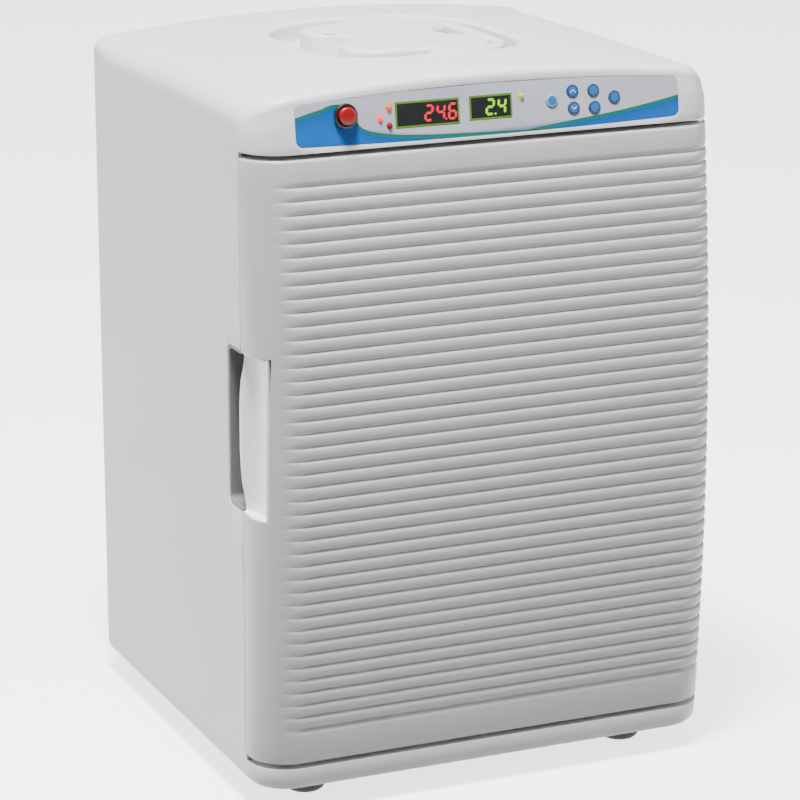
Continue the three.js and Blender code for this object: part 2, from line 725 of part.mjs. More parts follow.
const panelFront = rearY - skin - clearance - rearPanelThickness;
const fanRear = panelFront - clearance;
const fanFront = fanRear - fanDepth;
const hotBaseFront = foamRear + clearance;
addAt('hot_side_heatsink', heatsink(heatsinkSize, hotBaseFront + 4, fanFront - clearance,
  hotBaseFront, hotBaseFront + 5, 15), aluminium, 0, 0, coldMiddle);
addAt('exhaust_fan_frame', fanFrame(fanSize, fanDepth, 18), blackPlastic, 0, fanFront, coldMiddle);
addAt('exhaust_fan_rotor', fanRotor(fanSize, fanDepth - 6, 17), blackPlastic, 0, fanFront + 1.5, coldMiddle);

// ---- Rear panel and what it carries ----

const inletX = 104;
const inletZ = 66;
const inletHalfWidth = 14;
const inletHalfHeight = 11.5;
const fuseDrawerHeight = 11;
const screwX = windowSide - 8;
const screwHeights = [windowLow + 8, windowHigh - 8];

function rearPanel() {
  const grow = 4;
  let panel = box(-windowSide - grow, windowSide + grow, panelFront, panelFront + rearPanelThickness,
    windowLow - grow, windowHigh + grow)
    .subtract(rod('y', 0, coldMiddle, fanSize / 2 - 4, panelFront - 5, rearY, 16))
    .subtract(box(inletX - inletHalfWidth - clearance, inletX + inletHalfWidth + clearance, panelFront - 5, rearY,
      inletZ - inletHalfHeight - clearance, inletZ + inletHalfHeight + fuseDrawerHeight + clearance));
  for (let row = 0; row < 5; row++) {
    const z = 380 + row * 12;
    for (const x of [-80, 0, 80]) {
      panel = panel.subtract(box(x - 30, x + 30, panelFront - 5, rearY, z - 2, z + 2));
    }
  }
  for (const x of [-screwX, screwX]) {
    for (const z of screwHeights) {
      panel = panel.subtract(rod('y', x, z, 2 + clearance, panelFront - 5, rearY, 4));
    }
  }
  return panel;
}
addPiece('rear_panel', rearPanel(), paintedSteel);

// Screws at the panel's corners.
const screw = rod('y', 0, 0, 4, rearY - skin, rearY - 0.8, 5).add(rod('y', 0, 0, 2, rearY - 14, rearY - 2, 4));
addAt('rear_screw_1', screw, steel, -screwX, 0, screwHeights[0]);
addAt('rear_screw_2', screw, steel, screwX, 0, screwHeights[0]);
addAt('rear_screw_3', screw, steel, -screwX, 0, screwHeights[1]);
addAt('rear_screw_4', screw, steel, screwX, 0, screwHeights[1]);

// Finger guard over the exhaust fan: rings joined by four spokes.
function fanGuard() {
  const front = rearY - skin + 0.1;
  const back = rearY - 0.4;
  const ring = (radius) => rod('y', 0, 0, radius + 1.2, front, back, 8)
    .subtract(rod('y', 0, 0, radius - 1.2, front - 1, back + 1, 8));
  let guard = rod('y', 0, 0, 9, front, back, 5);
  for (const radius of [22, 33, 44]) {
    guard = guard.add(ring(radius));
  }
  for (let i = 0; i < 4; i++) {
    guard = guard.add(box(6, 50, front, back - 1, -1.2, 1.2).rotate([0, 45 + 90 * i, 0]));
  }
  return guard;
}
addAt('fan_guard', fanGuard(), steel, 0, 0, coldMiddle);

// Fused mains inlet: a socket body with a rim and three blades, open to the rear, and a fuse drawer above it.
function powerInlet() {
  const w = inletHalfWidth;
  const h = inletHalfHeight;
  const top = h + fuseDrawerHeight;
  const rimFront = panelFront + rearPanelThickness + clearance;
  let inlet = box(-w, w, rearY - 26, rimFront + 0.5, -h, top)
    .add(box(-w - 4, w + 4, rimFront, rearY - 0.5, -h - 3, top + 3))
    .subtract(box(-w + 2, w - 2, rearY - 20, rearY + 1, -h + 2, h - 2))
    .subtract(box(-w + 3, w - 3, rearY - 1.2, rearY + 1, h + 1, h + 1.8))
    .subtract(box(-w + 3, w - 3, rearY - 1.2, rearY + 1, top - 1.8, top - 1));
  for (const [x, z] of [[0, 3.5], [-7, -2.5], [7, -2.5]]) {
    inlet = inlet.add(box(x - 1, x + 1, rearY - 21, rearY - 6, z - 2, z + 2));
  }
  return inlet;
}
addAt('power_inlet', powerInlet(), blackPlastic, inletX, 0, inletZ);

// ---- Electronics ----

addPiece('power_supply', box(-110, 40, foamRear + 6, panelFront - 5, 40, 130), aluminium);

function controlBoard() {
  const z = chamberTop + linerWall + foam + 6;
  let board = box(-80, 80, seamY + 6, seamY + 46, z, z + 1.6);
  for (const [x, w, h] of [[-60, 14, 10], [-30, 8, 7], [0, 12, 4], [30, 9, 8], [58, 14, 10]]) {
    board = board.add(box(x - w, x + w, seamY + 16, seamY + 36, z + 1, z + h));
  }
  return board;
}
addPiece('control_board', controlBoard(), greenBoard);

// Temperature probe on a clip beside the fan cover.
const probe = rod('y', 0, 0, 2.4, chamberRear - 30, chamberRear - clearance, 6)
  .add(box(-5, 5, chamberRear - 5, chamberRear - clearance, -7, 7));
addAt('temperature_probe', probe, steel, 84, 0, chamberTop - 40);

// ---- Door hinges: plates in the gaps above and below the door, with pins into it ----

const plateTail = 38;
function hingeBracket(z) {
  const shape = roundedRect(hingeX - plateTail, hingeX + 3.9, hingeY - 3.9, seamY - seamGap, 3.9);
  return prism(shape, 'z', z, z + hingePlate, 2)
    .subtract(rod('z', hingeX, hingeY, hingePinRadius + clearance, z - 1, z + 5, 5));
}
const upperPlate = fasciaBottom - clearance - hingePlate;
const lowerPlate = plinthTop + clearance;
addPiece('hinge_bracket_upper', hingeBracket(upperPlate), steel);
addPiece('hinge_bracket_lower', hingeBracket(lowerPlate), steel);
const hingePin = (from, to) => rod('z', hingeX, hingeY, hingePinRadius, from, to, 5);
addPiece('hinge_pin_upper', hingePin(doorTop - hingePinDepth, upperPlate + hingePlate), steel);
addPiece('hinge_pin_lower', hingePin(lowerPlate, doorBottom + hingePinDepth), steel);

// ---- Door ----

// The door's inner skin and its raised middle.
const plateRear = doorRear - 2.3;
const plateFront = plateRear - 2.5;
const plugSide = chamberWidth / 2 - 14;
const plugRise = 12;
const linerLeft = -half + 8;
const linerRight = hingeX - 6;

// Door outline at one height: skinIn pushes the whole outline in, groove only the ribbed part of the front.
function doorRing(z, skinIn, groove, rear) {
  const front = frontAt(z) + skinIn;
  const side = half - skinIn;
  const radius = cornerRadius - skinIn;
  const inner = side - radius;
  const points = [new THREE.Vector3(-side, rear, z)];
  const arcTo = (cx, startAngle, endAngle, steps, depthAt) => {
    for (let i = 0; i <= steps; i++) {
      const angle = startAngle + (endAngle - startAngle) * i / steps;
      const reach = radius - depthAt(i / steps);
      const y = Math.min(front + radius + reach * Math.sin(angle), rear - 0.5);
      points.push(new THREE.Vector3(cx + reach * Math.cos(angle), y, z));
    }
  };
  arcTo(-inner, Math.PI + 0.12, 1.5 * Math.PI, 5, () => 0);
  points.push(new THREE.Vector3(-inner + ribFade, front + groove, z));
  points.push(new THREE.Vector3(0, front + groove, z));
  arcTo(inner, 1.5 * Math.PI, 2 * Math.PI - 0.12, 5, (share) => (share < 0.7 ? groove : 0));
  points.push(new THREE.Vector3(side, rear, z));
  return points;
}

function doorBlock(skinIn, withRibs) {
  const bottom = doorBottom + skinIn;
  const top = doorTop - skinIn;
  const edge = 1.5;
  const rear = skinIn > 0 ? seamY + 5 : doorRear;
  const ring = (z, pushed, groove) => doorRing(z, pushed, groove, rear);
  const rings = [ring(bottom, skinIn + edge, 0), ring(bottom + edge, skinIn, 0)];
  if (withRibs) {
    const firstRib = doorTop - firstRibDrop;
    for (let i = ribCount - 1; i >= 0; i--) {
      const valley = firstRib - i * ribPitch;
      if (i === ribCount - 1) {
        rings.push(ring(valley - ribPitch * 0.4, skinIn, 0));
      }
      rings.push(ring(valley, skinIn, ribDepth));
      rings.push(ring(valley + ribPitch * 0.4, skinIn, 0));
    }
  } else {
    for (let i = 1; i < 5; i++) {
      rings.push(ring(bottom + (top - bottom) * i / 5, skinIn, 0));
    }
  }
  rings.push(ring(top - edge, skinIn, 0), ring(top, skinIn + edge, 0));
  return stack(rings);
}

// Room for the door's rear corner to turn about the hinge pin.
const hingeSwing = hingeBack - 0.6;
const hingeCorner = box(hingeX, wide, hingeY, seamY + 10, doorBottom - 5, doorTop + 5)
  .subtract(rod('z', hingeX, hingeY, hingeSwing, doorBottom - 6, doorTop + 6, 14));

// Plan of the scoop: from the front corner straight back, then flaring out to the cabinet's side.
const scoopFront = seamY - 29;
const scoopX = -half + gripScoop;
const flareRadius = 26;
const flareStart = seamY - 17;
function scoopOutline(offset, back) {
  const shape = new THREE.Shape();
  const swing = Math.acos(1 - (gripScoop + offset - 0.2) / (flareRadius + offset));
  shape.moveTo(scoopX + offset, scoopFront);
  shape.lineTo(scoopX + offset, flareStart);
  shape.absarc(scoopX - flareRadius, flareStart, flareRadius + offset, 0, swing);
  shape.lineTo(-wide, back);
  shape.lineTo(-wide, scoopFront);
  return shape;
}

function gripPlate() {
  const low = pocketLow + 0.5;
  const high = pocketHigh - 0.5;
  const back = seamY + gripLip;
  const plate = prism(scoopOutline(gripPlateThickness, back), 'z', low, high, 8)
    .subtract(prism(scoopOutline(0, back + 5), 'z', low - 1, high + 1, 8))
    .intersect(box(-half + 0.1, 0, frontY, back, 0, aboveTop));
  const bow = new THREE.Shape();
  const straight = 6;
  bow.moveTo(frontY, low - 1);
  bow.lineTo(seamY, low - 1);
  bow.lineTo(seamY, low + straight);
  bow.quadraticCurveTo(seamY + 2 * gripLip, gripMiddle, seamY, high - straight);
  bow.lineTo(seamY, high + 1);
  bow.lineTo(frontY, high + 1);
  return plate.intersect(prism(bow, 'x', -wide, 0, 10)).intersect(outer);
}

function doorOuterPanel() {
  const bossLeft = linerRight + 1;
  const bosses = box(bossLeft, wide, hingeY - 8, seamY + 10, doorTop - 26, doorTop)
    .add(box(bossLeft, wide, hingeY - 8, seamY + 10, doorBottom, doorBottom + 26));
  const notch = box(-wide, scoopX + gripPlateThickness + clearance, scoopFront - clearance, seamY + 10,
    pocketLow, pocketHigh);
  const bores = rod('z', hingeX, hingeY, hingePinRadius + clearance, doorBottom - 1, doorTop + 1, 5)
    .subtract(box(-wide, wide, frontY, rearY, doorBottom + hingePinDepth + 1, doorTop - hingePinDepth - 1));
  return doorBlock(0, true)
    .subtract(doorBlock(doorSkin, false).subtract(bosses))
    .subtract(hingeCorner)
    .subtract(notch)
    .subtract(bores);
}
addPiece('door_outer_panel', doorOuterPanel(), doorAbs);
addPiece('door_grip_plate', gripPlate(), gripAbs);

// Inner door skin: a plate with a hollow raised middle that enters the chamber.
function doorInnerLiner() {
  const low = doorBottom + 4;
  const high = doorTop - 4;
  const plug = (inset, to) => prism(roundedRect(-plugSide + inset, plugSide - inset,
    chamberBottom + 14 + inset, chamberTop - 14 - inset, 14 - inset), 'y', plateFront - 1 + inset / 2, to);
  const outside = box(linerLeft, linerRight, plateFront, plateRear, low, high)
    .add(plug(0, plateRear + plugRise).intersect(box(-wide, wide, plateFront, rearY, 0, aboveTop)));
  const hollowPlug = prism(roundedRect(-plugSide + 2, plugSide - 2, chamberBottom + 16, chamberTop - 16, 12), 'y',
    plateFront - 2, plateRear + plugRise - 2);
  return outside.subtract(hollowPlug).subtract(box(-wide, scoopX + gripPlateThickness + 1, frontY, rearY,
    pocketLow - 1, pocketHigh + 1));
}
addPiece('door_inner_liner', doorInnerLiner(), linerPlastic);

// Foam between the door's two skins.
function doorFoam() {
  const front = frontAt(doorTop) + doorSkin + 2;
  return box(-half + 17, hingeX - 10, front, plateFront - clearance, doorBottom + 8, doorTop - 8)
    .subtract(box(-wide, scoopX + gripPlateThickness + 3, frontY, rearY, pocketLow - 3, pocketHigh + 3));
}
addPiece('door_insulation', doorFoam(), foamYellow);

// Magnetic gasket around the chamber's mouth.
const gasket = prism(roundedRect(-chamberWidth / 2 - 17, chamberWidth / 2 + 17, chamberBottom - 15,
  chamberTop + 15, 14), 'y', plateRear + clearance, seamY - clearance, 3)
  .subtract(prism(roundedRect(-chamberWidth / 2 - 5, chamberWidth / 2 + 5, chamberBottom - 4, chamberTop + 4, 8),
    'y', frontY, rearY, 3));
addPiece('door_gasket', gasket, gasketGrey);

// Grip pocket: a cup in the cabinet's side that is open to the side and to the front.
function gripPocket() {
  const wall = 2;
  const cup = prism(pocketOutline(-clearance), 'x', -half + 0.4, -half + gripPocketDepth - clearance)
    .subtract(prism(pocketOutline(-clearance - wall), 'x', -half - 1, -half + gripPocketDepth - wall));
  return cup.intersect(box(-wide, 0, seamY + 0.2, rearY, 0, aboveTop));
}
addPiece('grip_pocket', gripPocket(), pocketAbs);

export default part;
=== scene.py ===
"""Looks for a benchtop thermoelectric incubator: a moulded cabinet with a ribbed front door.

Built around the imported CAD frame, in metres: +Z is up, the door faces -Y and is hinged at +X.
"""

import json
from math import atan, cos, hypot, pi, radians, sin, sqrt

import bmesh
import bpy
from mathutils import Matrix, Vector


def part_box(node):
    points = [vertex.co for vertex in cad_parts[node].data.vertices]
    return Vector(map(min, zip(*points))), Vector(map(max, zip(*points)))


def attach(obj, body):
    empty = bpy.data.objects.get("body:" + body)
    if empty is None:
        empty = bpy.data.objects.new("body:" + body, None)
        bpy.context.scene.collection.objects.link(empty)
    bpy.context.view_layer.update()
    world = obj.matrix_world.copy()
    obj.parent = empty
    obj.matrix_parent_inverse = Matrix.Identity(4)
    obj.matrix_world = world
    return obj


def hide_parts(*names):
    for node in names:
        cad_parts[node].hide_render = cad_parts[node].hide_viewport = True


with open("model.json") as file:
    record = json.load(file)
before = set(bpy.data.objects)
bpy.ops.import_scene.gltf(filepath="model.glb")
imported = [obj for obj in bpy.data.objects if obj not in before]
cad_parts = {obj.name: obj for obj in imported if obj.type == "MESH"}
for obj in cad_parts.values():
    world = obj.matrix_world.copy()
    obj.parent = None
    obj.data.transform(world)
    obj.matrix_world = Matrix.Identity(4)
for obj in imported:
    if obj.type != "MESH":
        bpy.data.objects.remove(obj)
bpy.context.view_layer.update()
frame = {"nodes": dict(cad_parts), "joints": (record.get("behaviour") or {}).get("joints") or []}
nodes = frame["nodes"]

# ---- Camera, floor and light ----
# A long lens stands to the left of the cabinet and a little above it, and the floor is a pale flat sheet. The
# light is soft: a strong box overhead, a weak one at the right and a wide one behind at the left.

shell_low, shell_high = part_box("cabinet_shell")
seam_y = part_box("front_frame")[0].y
VIEW_TURN = radians(23.74)
VIEW_RISE = radians(15.74)
VIEW_DISTANCE = 2.191
view_target = Vector((-0.0533, seam_y, 0.269))
view_from = Vector((-sin(VIEW_TURN) * cos(VIEW_RISE), -cos(VIEW_TURN) * cos(VIEW_RISE), sin(VIEW_RISE)))


def added(name, data):
    """Puts a new object into the scene."""
    made = bpy.data.objects.new(name, data)
    bpy.context.scene.collection.objects.link(made)
    return made


def added_mesh(name, bm):
    """Puts a bmesh into the scene as a new object."""
    mesh = bpy.data.meshes.new(name)
    bm.to_mesh(mesh)
    bm.free()
    return added(name, mesh)


lens = bpy.data.cameras.new("view")
lens.lens = 151.07
lens.sensor_width = 36
lens.shift_x = -0.00125
lens.shift_y = -0.00625
camera = added("view", lens)
camera.location = view_target + view_from * VIEW_DISTANCE
camera.rotation_euler = view_from.to_track_quat("Z", "Y").to_euler()
bpy.context.scene.camera = camera


def linear(hex_colour, alpha=1.0):
    """An sRGB hex colour as linear RGBA."""
    channels = [int(hex_colour[i : i + 2], 16) / 255 for i in (1, 3, 5)]
    return [c / 12.92 if c <= 0.04045 else ((c + 0.055) / 1.055) ** 2.4 for c in channels] + [alpha]


def add_node(material, kind, inputs=None, **settings):
    """Adds a node. inputs maps a socket's name or number to a value or to another node's output."""
    node = material.node_tree.nodes.new(kind)
    for name, value in settings.items():
        setattr(node, name, value)
    for socket, value in (inputs or {}).items():
        if isinstance(value, bpy.types.NodeSocket):
            material.node_tree.links.new(value, node.inputs[socket])
        else:
            node.inputs[socket].default_value = value
    return node


def new_material(name, **constants):
    """A material with its Principled shader, whose even values are set on the shader's own sockets."""
    material = bpy.data.materials.new(name)
    material.use_nodes = True
    shader = material.node_tree.nodes["Principled BSDF"]
    for socket, value in constants.items():
        shader.inputs[socket.replace("_", " ")].default_value = value
    return material, shader


def object_place(material):
    """A place on the piece, in metres."""
    return add_node(material, "ShaderNodeTexCoord").outputs["Object"]


def smoothed(mesh, sharp):
    """Shades a mesh smooth, apart from edges sharper than an angle."""
    mesh.shade_smooth()
    mesh.set_sharp_from_angle(angle=sharp)


def finished(name, bm, body, material, replaced=(), smooth=True, sharp=radians(40)):
    """Turns a bmesh into a piece that rides on a body and stands for the CAD nodes that it replaces."""
    piece = added_mesh(name, bm)
    piece.data.materials.append(material)
    if smooth:
        smoothed(piece.data, sharp)
    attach(piece, body)
    if replaced:
        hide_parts(*replaced)
    return piece


# The floor's glow stays off matt surfaces, and the backdrop is bright for the camera only. The sky that lights
# the cabinet goes from dim below to bright above.
FLOOR_GLOW = 2.4
AMBIENT_LOW = 0.06
AMBIENT_HIGH = 0.65
SKY_DIM = -0.3
SKY_BRIGHT = 0.7
BACKDROP = 3.2
floor_bm = bmesh.new()
bmesh.ops.create_grid(floor_bm, x_segments=1, y_segments=1, size=6)
floor = added_mesh("floor", floor_bm)
floor_paper, _ = new_material("matt_paper", Roughness=0.95, Base_Color=linear("#f4f4f4"),
                              Emission_Color=linear("#ffffff"), Emission_Strength=FLOOR_GLOW)
floor.visible_diffuse = False
floor.data.materials.append(floor_paper)

world = bpy.data.worlds.new("studio")
bpy.context.scene.world = world
world.use_nodes = True
backdrop = world.node_tree.nodes["Background"]
backdrop.inputs["Color"].default_value = linear("#ffffff")
direction = add_node(world, "ShaderNodeTexCoord").outputs["Generated"]
upward = add_node(world, "ShaderNodeSeparateXYZ", {"Vector": direction}).outputs["Z"]
sky = add_node(world, "ShaderNodeMapRange", {
    "Value": upward, "From Min": SKY_DIM, "From Max": SKY_BRIGHT,
    "To Min": AMBIENT_LOW, "To Max": AMBIENT_HIGH})
seen = add_node(world, "ShaderNodeLightPath").outputs["Is Camera Ray"]
glow = add_node(world, "ShaderNodeMapRange", {
    "Value": seen, "To Min": sky.outputs["Result"], "To Max": BACKDROP})
world.node_tree.links.new(glow.outputs["Result"], backdrop.inputs["Strength"])


def soft_light(name, place, size, power):
    """A square soft box that faces the middle of the cabinet."""
    light = bpy.data.lights.new(name, "AREA")
    light.size = size
    light.energy = power
    lamp = added(name, light)
    lamp.location = place
    aim = Vector(place) - Vector((0, 0, 0.25))
    lamp.rotation_euler = aim.to_track_quat("Z", "Y").to_euler()


soft_light("overhead", (-0.4, -0.5, 2.3), 0.42, 140)
soft_light("right_box", (2.0, -0.9, 0.9), 0.8, 16)
soft_light("left_box", (-2.1, 1.2, 0.9), 1.0, 32)

# ---- Cabinet shell and handle tray ----
# One moulding in satin ABS, 3 mm thick: upright sides, a barrel-curved front above and below the door, a
# domed top with soft shoulders, and in the top the tray that the carry handle lies in.

SKIN = 0.003
HALF = shell_high.x
REAR = shell_high.y
TOP = shell_high.z
BOTTOM = shell_low.z
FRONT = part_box("door_outer_panel")[0].y
BULGE_RADIUS = 1.818
BULGE_HEIGHT = 0.209
CORNER = 0.027
REAR_CORNER = 0.013
SHOULDER = 0.024
SHOULDER_FLAT = 0.35
FRONT_LIP = 0.006
REAR_LIP = 0.015
BOTTOM_LIP = 0.008
SIDE_DROP = 0.011
REAR_DROP = 0.004
RIDGE_START = -0.040
DOOR_GAP = 0.003
SIDES_END = 0.432
CABINET_EDGE = 0.0006
door_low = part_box("door_outer_panel")[0].z
door_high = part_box("door_outer_panel")[1].z


def front_at(z):
    """The barrel-curved front at a height."""
    return FRONT + (z - BULGE_HEIGHT) ** 2 / (2 * BULGE_RADIUS)


def dome_at(x, y):
    """The height of the domed top."""
    back = max(y - RIDGE_START, 0) / (REAR - RIDGE_START)
    return TOP - SIDE_DROP * (x / HALF) ** 2 - REAR_DROP * back**2


def plan_outline(front_run):
    """The plan outline at its foremost height: points with outward direction and share of the barrel curve."""
    corner_steps = 10
    points = []

    def arc(cx, cy, radius, start, share):
        for i in range(corner_steps + 1):
            angle = start + i / corner_steps * pi / 2
            out = Vector((cos(angle), sin(angle)))
            points.append((cx + radius * out.x, cy + radius * out.y, out, share))

    def side(x, ways):
        near, far = FRONT + CORNER, REAR - REAR_CORNER
        for share in ways:
            points.append((x, near + (far - near) * share, Vector((x / abs(x), 0)), 1 - share))

    side_ways = [0.004, 0.02, 0.04, 0.06] + [0.08 + 0.9 * i / 28 for i in range(29)]
    arc(-HALF + CORNER, FRONT + CORNER, CORNER, pi, 1)
    points.extend((x, FRONT, Vector((0, -1)), 1) for x in front_run)
    arc(HALF - CORNER, FRONT + CORNER, CORNER, 1.5 * pi, 1)
    side(HALF, side_ways)
    arc(HALF - REAR_CORNER, REAR - REAR_CORNER, REAR_CORNER, 0, 0)
    rear_span = HALF - REAR_CORNER
    points.extend((rear_span * (1 - 2 * i / 36), REAR, Vector((0, 1)), 0) for i in range(1, 36))
    arc(-HALF + REAR_CORNER, REAR - REAR_CORNER, REAR_CORNER, pi / 2, 0)
    side(-HALF, side_ways[::-1])
    return points


def place_on_outline(point, z, pull=0.0):
    """A point of the outline at a height, pulled in from the outer form."""
    x, y, out, share = point
    return Vector((x - out.x * pull, y + share * (front_at(z) - FRONT) - out.y * pull, z))


def loft(bm, rings, closed=True):
    """Extrudes a row of vertices through rings of equally many points, and returns the rows of vertices."""
    row = [bm.verts.new(p) for p in rings[0]]
    pairs = zip(row, row[1:] + row[:1]) if closed else zip(row, row[1:])
    edges = [bm.edges.new(pair) for pair in pairs]
    rows = [row]
    for ring in rings[1:]:
        made = bmesh.ops.extrude_edge_only(bm, edges=edges)["geom"]
        fresh = {item for item in made if isinstance(item, bmesh.types.BMVert)}
        edges = [item for item in made if isinstance(item, bmesh.types.BMEdge) and set(item.verts) <= fresh]
        row = [next(e.other_vert(v) for e in v.link_edges if e.other_vert(v) in fresh) for v in row]
        for vertex, point in zip(row, ring):
            vertex.co = point
        rows.append(row)
    return rows


def solid_loft(rings):
    """A closed bmesh: a loft through rings with both ends filled."""
    bm = bmesh.new()
    rows = loft(bm, rings)
    bm.faces.new(rows[0][::-1])
    bm.faces.new(rows[-1])
    bmesh.ops.recalc_face_normals(bm, faces=bm.faces)
    return bm


# The tray: a ring-shaped trough round an island with a finger notch in each side.
TRAY_Y = 0.009
TRAY_HALF = Vector((0.074, 0.082))
TRAY_CORNER = 0.052
TRAY_FLOOR = TOP - 0.0175
ISLAND_HALF = Vector((0.050, 0.061))
ISLAND_CORNER = 0.020
NOTCH = 0.022
NOTCH_X = 0.054
NOTCH_BLEND = 0.003
TRAY_LIP = 0.0028
SCOOP_LEAST = 0.004
SCOOP_MORE = 0.009


def rounded_distance(p, half, radius):
    """Signed distance from a rounded rectangle about the tray's middle."""
    dx = abs(p.x) - (half.x - radius)
    dy = abs(p.y) - (half.y - radius)
    return hypot(max(dx, 0), max(dy, 0)) + min(max(dx, dy), 0) - radius


def island_distance(p):
    """Signed distance from the island, with rounded notch corners."""
    notch = NOTCH - min(hypot(p.x - NOTCH_X, p.y), hypot(p.x + NOTCH_X, p.y))
    body = rounded_distance(p, ISLAND_HALF, ISLAND_CORNER)
    mix = max(NOTCH_BLEND - abs(notch - body), 0) / NOTCH_BLEND
    return max(notch, body) + mix * mix * NOTCH_BLEND / 4


def reach(distance, angle):
    """The point where a ray from the tray's middle meets an outline."""
    ray = Vector((cos(angle), sin(angle)))
    low, high = 0.01, 0.12
    for _ in range(24):
        middle = (low + high) / 2
        low, high = (middle, high) if distance(ray * middle) < 0 else (low, middle)
    return ray * low


def outward(distance, p):
    """The outward direction of an outline at a point."""
    step = 1e-5
    gx = distance(p + Vector((step, 0))) - distance(p - Vector((step, 0)))
    gy = distance(p + Vector((0, step))) - distance(p - Vector((0, step)))
    return Vector((gx, gy)).normalized()


def tray_distance(p):
    return rounded_distance(p, TRAY_HALF, TRAY_CORNER)


def in_tray(p, drop=None, z=None):
    """A plan point about the tray's middle, at a depth below the dome or at a height."""
    x, y = p.x, p.y + TRAY_Y
    return Vector((x, y, z if drop is None else dome_at(x, y) - drop))


def cabinet_rings():
    """The whole outer surface, from the middle of the underside to the middle of the tray's floor."""
    inner = HALF - CORNER
    outline = plan_outline([inner * (-1 + 2 * i / 40) for i in range(1, 40)])
    rings = [[place_on_outline(p, BOTTOM, BOTTOM_LIP).lerp(Vector((0, 0, BOTTOM)), share) for p in outline]
             for share in (0.97, 0.5, 0.1)]
    for i in range(6):
        angle = i / 5 * pi / 2
        z = BOTTOM + BOTTOM_LIP * (1 - cos(angle))
        rings.append([place_on_outline(p, z, BOTTOM_LIP * (1 - sin(angle))) for p in outline])
    lower = BOTTOM + BOTTOM_LIP
    upper = SIDES_END
    for i in range(1, 12):
        rings.append([place_on_outline(p, lower + (upper - lower) * i / 11) for p in outline])

    def shoulder(p):
        out = p[2]
        end = FRONT_LIP if out.y < 0 else REAR_LIP
        base = place_on_outline(p, TOP - FRONT_LIP)
        spare = max(REAR - REAR_CORNER - base.y, HALF - REAR_CORNER - abs(base.x), 0)
        radius = min(SHOULDER * out.x**2 + end * out.y**2, REAR_CORNER * 0.95 + 0.4 * spare)
        return radius, base

    def drop(p, radius):
        return radius * (1 - SHOULDER_FLAT * p[2].x ** 2)

    starts = [dome_at(base.x, base.y) - drop(p, radius)
              for p, (radius, base) in zip(outline, map(shoulder, outline))]
    for i in range(1, 5):
        levels = [upper + (start - upper) * i / 5 for start in starts]
        rings.append([place_on_outline(p, level) for p, level in zip(outline, levels)])
    for i in range(9):
        angle = i / 8 * pi / 2
        ring = []
        for p in outline:
            radius, base = shoulder(p)
            x = base.x - p[2].x * radius * (1 - cos(angle))
            y = base.y - p[2].y * radius * (1 - cos(angle))
            ring.append(Vector((x, y, dome_at(x, y) - drop(p, radius) * (1 - sin(angle)))))
        rings.append(ring)
    rim = rings[-1]
    directions = [Vector((p.x, p.y - TRAY_Y)) for p in rim]
    edge = [reach(tray_distance, Vector((1, 0)).angle_signed(d) * -1) for d in directions]
    out = [outward(tray_distance, p) for p in edge]
    for share in (0.2, 0.4, 0.6, 0.8, 0.93):
        ring = []
        for start, p, way in zip(rim, edge, out):
            end = p + way * TRAY_LIP
            x, y = start.x + (end.x - start.x) * share, start.y + (end.y + TRAY_Y - start.y) * share
            ring.append(Vector((x, y, dome_at(x, y))))
        rings.append(ring)
    for i in range(6):
        angle = i / 5 * pi / 2
        rings.append([in_tray(p + way * TRAY_LIP * (1 - sin(angle)), TRAY_LIP * (1 - cos(angle)))
                      for p, way in zip(edge, out)])
    for i in range(8):
        angle = i / 7 * pi / 2
        ring = []
        for p, way in zip(edge, out):
            scoop = SCOOP_LEAST + SCOOP_MORE * max(-way.x, 0) ** 2
            inward = p - way * scoop * (1 - cos(angle))
            ring.append(in_tray(inward, z=TRAY_FLOOR + scoop * (1 - sin(angle))))
        rings.append(ring)
    for share in (0.6, 0.3, 0.02):
        rings.append([in_tray(p * share, z=TRAY_FLOOR) for p in edge])
    return rings


def split(bm, point, normal, faces=None):
    """Cuts faces along a plane and leaves both sides."""
    chosen = list(bm.faces) if faces is None else faces
    geometry = {item for f in chosen for item in (*f.verts, *f.edges, f)}
    bmesh.ops.bisect_plane(bm, geom=list(geometry), dist=1e-6, plane_co=point, plane_no=normal)


WINDOW_HALF = 0.146
WINDOW_LOW = 0.034
WINDOW_HIGH = 0.444
body_bm = solid_loft(cabinet_rings())
for height in (door_low - DOOR_GAP, door_high + DOOR_GAP):
    split(body_bm, (0, 0, height), (0, 0, 1))
split(body_bm, (0, seam_y, 0), (0, 1, 0))


def rear_faces():
    return [f for f in body_bm.faces if f.calc_center_median().y > REAR - 0.0005]


for height in (WINDOW_LOW, WINDOW_HIGH):
    split(body_bm, (0, 0, height), (0, 0, 1), rear_faces())
for x in (-WINDOW_HALF, WINDOW_HALF):
    split(body_bm, (x, 0, 0), (1, 0, 0), rear_faces())


def in_door_space(c):
    return c.y < seam_y and door_low - DOOR_GAP < c.z < door_high + DOOR_GAP


def in_rear_window(c):
    return c.y > REAR - 0.0005 and abs(c.x) < WINDOW_HALF and WINDOW_LOW < c.z < WINDOW_HIGH


def cut_away(bm, inside):
    """Deletes the faces whose middle is inside a space."""
    faces = [f for f in bm.faces if inside(f.calc_center_median())]
    bmesh.ops.delete(bm, geom=faces, context="FACES")


cut_away(body_bm, in_door_space)
cut_away(body_bm, in_rear_window)


def mixed_colour(material, share, base, other, **settings):
    """Mixes two colours, each a hex colour or another node's output."""
    mix = add_node(material, "ShaderNodeMix", data_type="RGBA", **settings)
    for socket, value in ((0, share), (6, base), (7, other)):
        if isinstance(value, str):
            mix.inputs[socket].default_value = linear(value)
        else:
            material.node_tree.links.new(value, mix.inputs[socket])
    return mix.outputs[2]


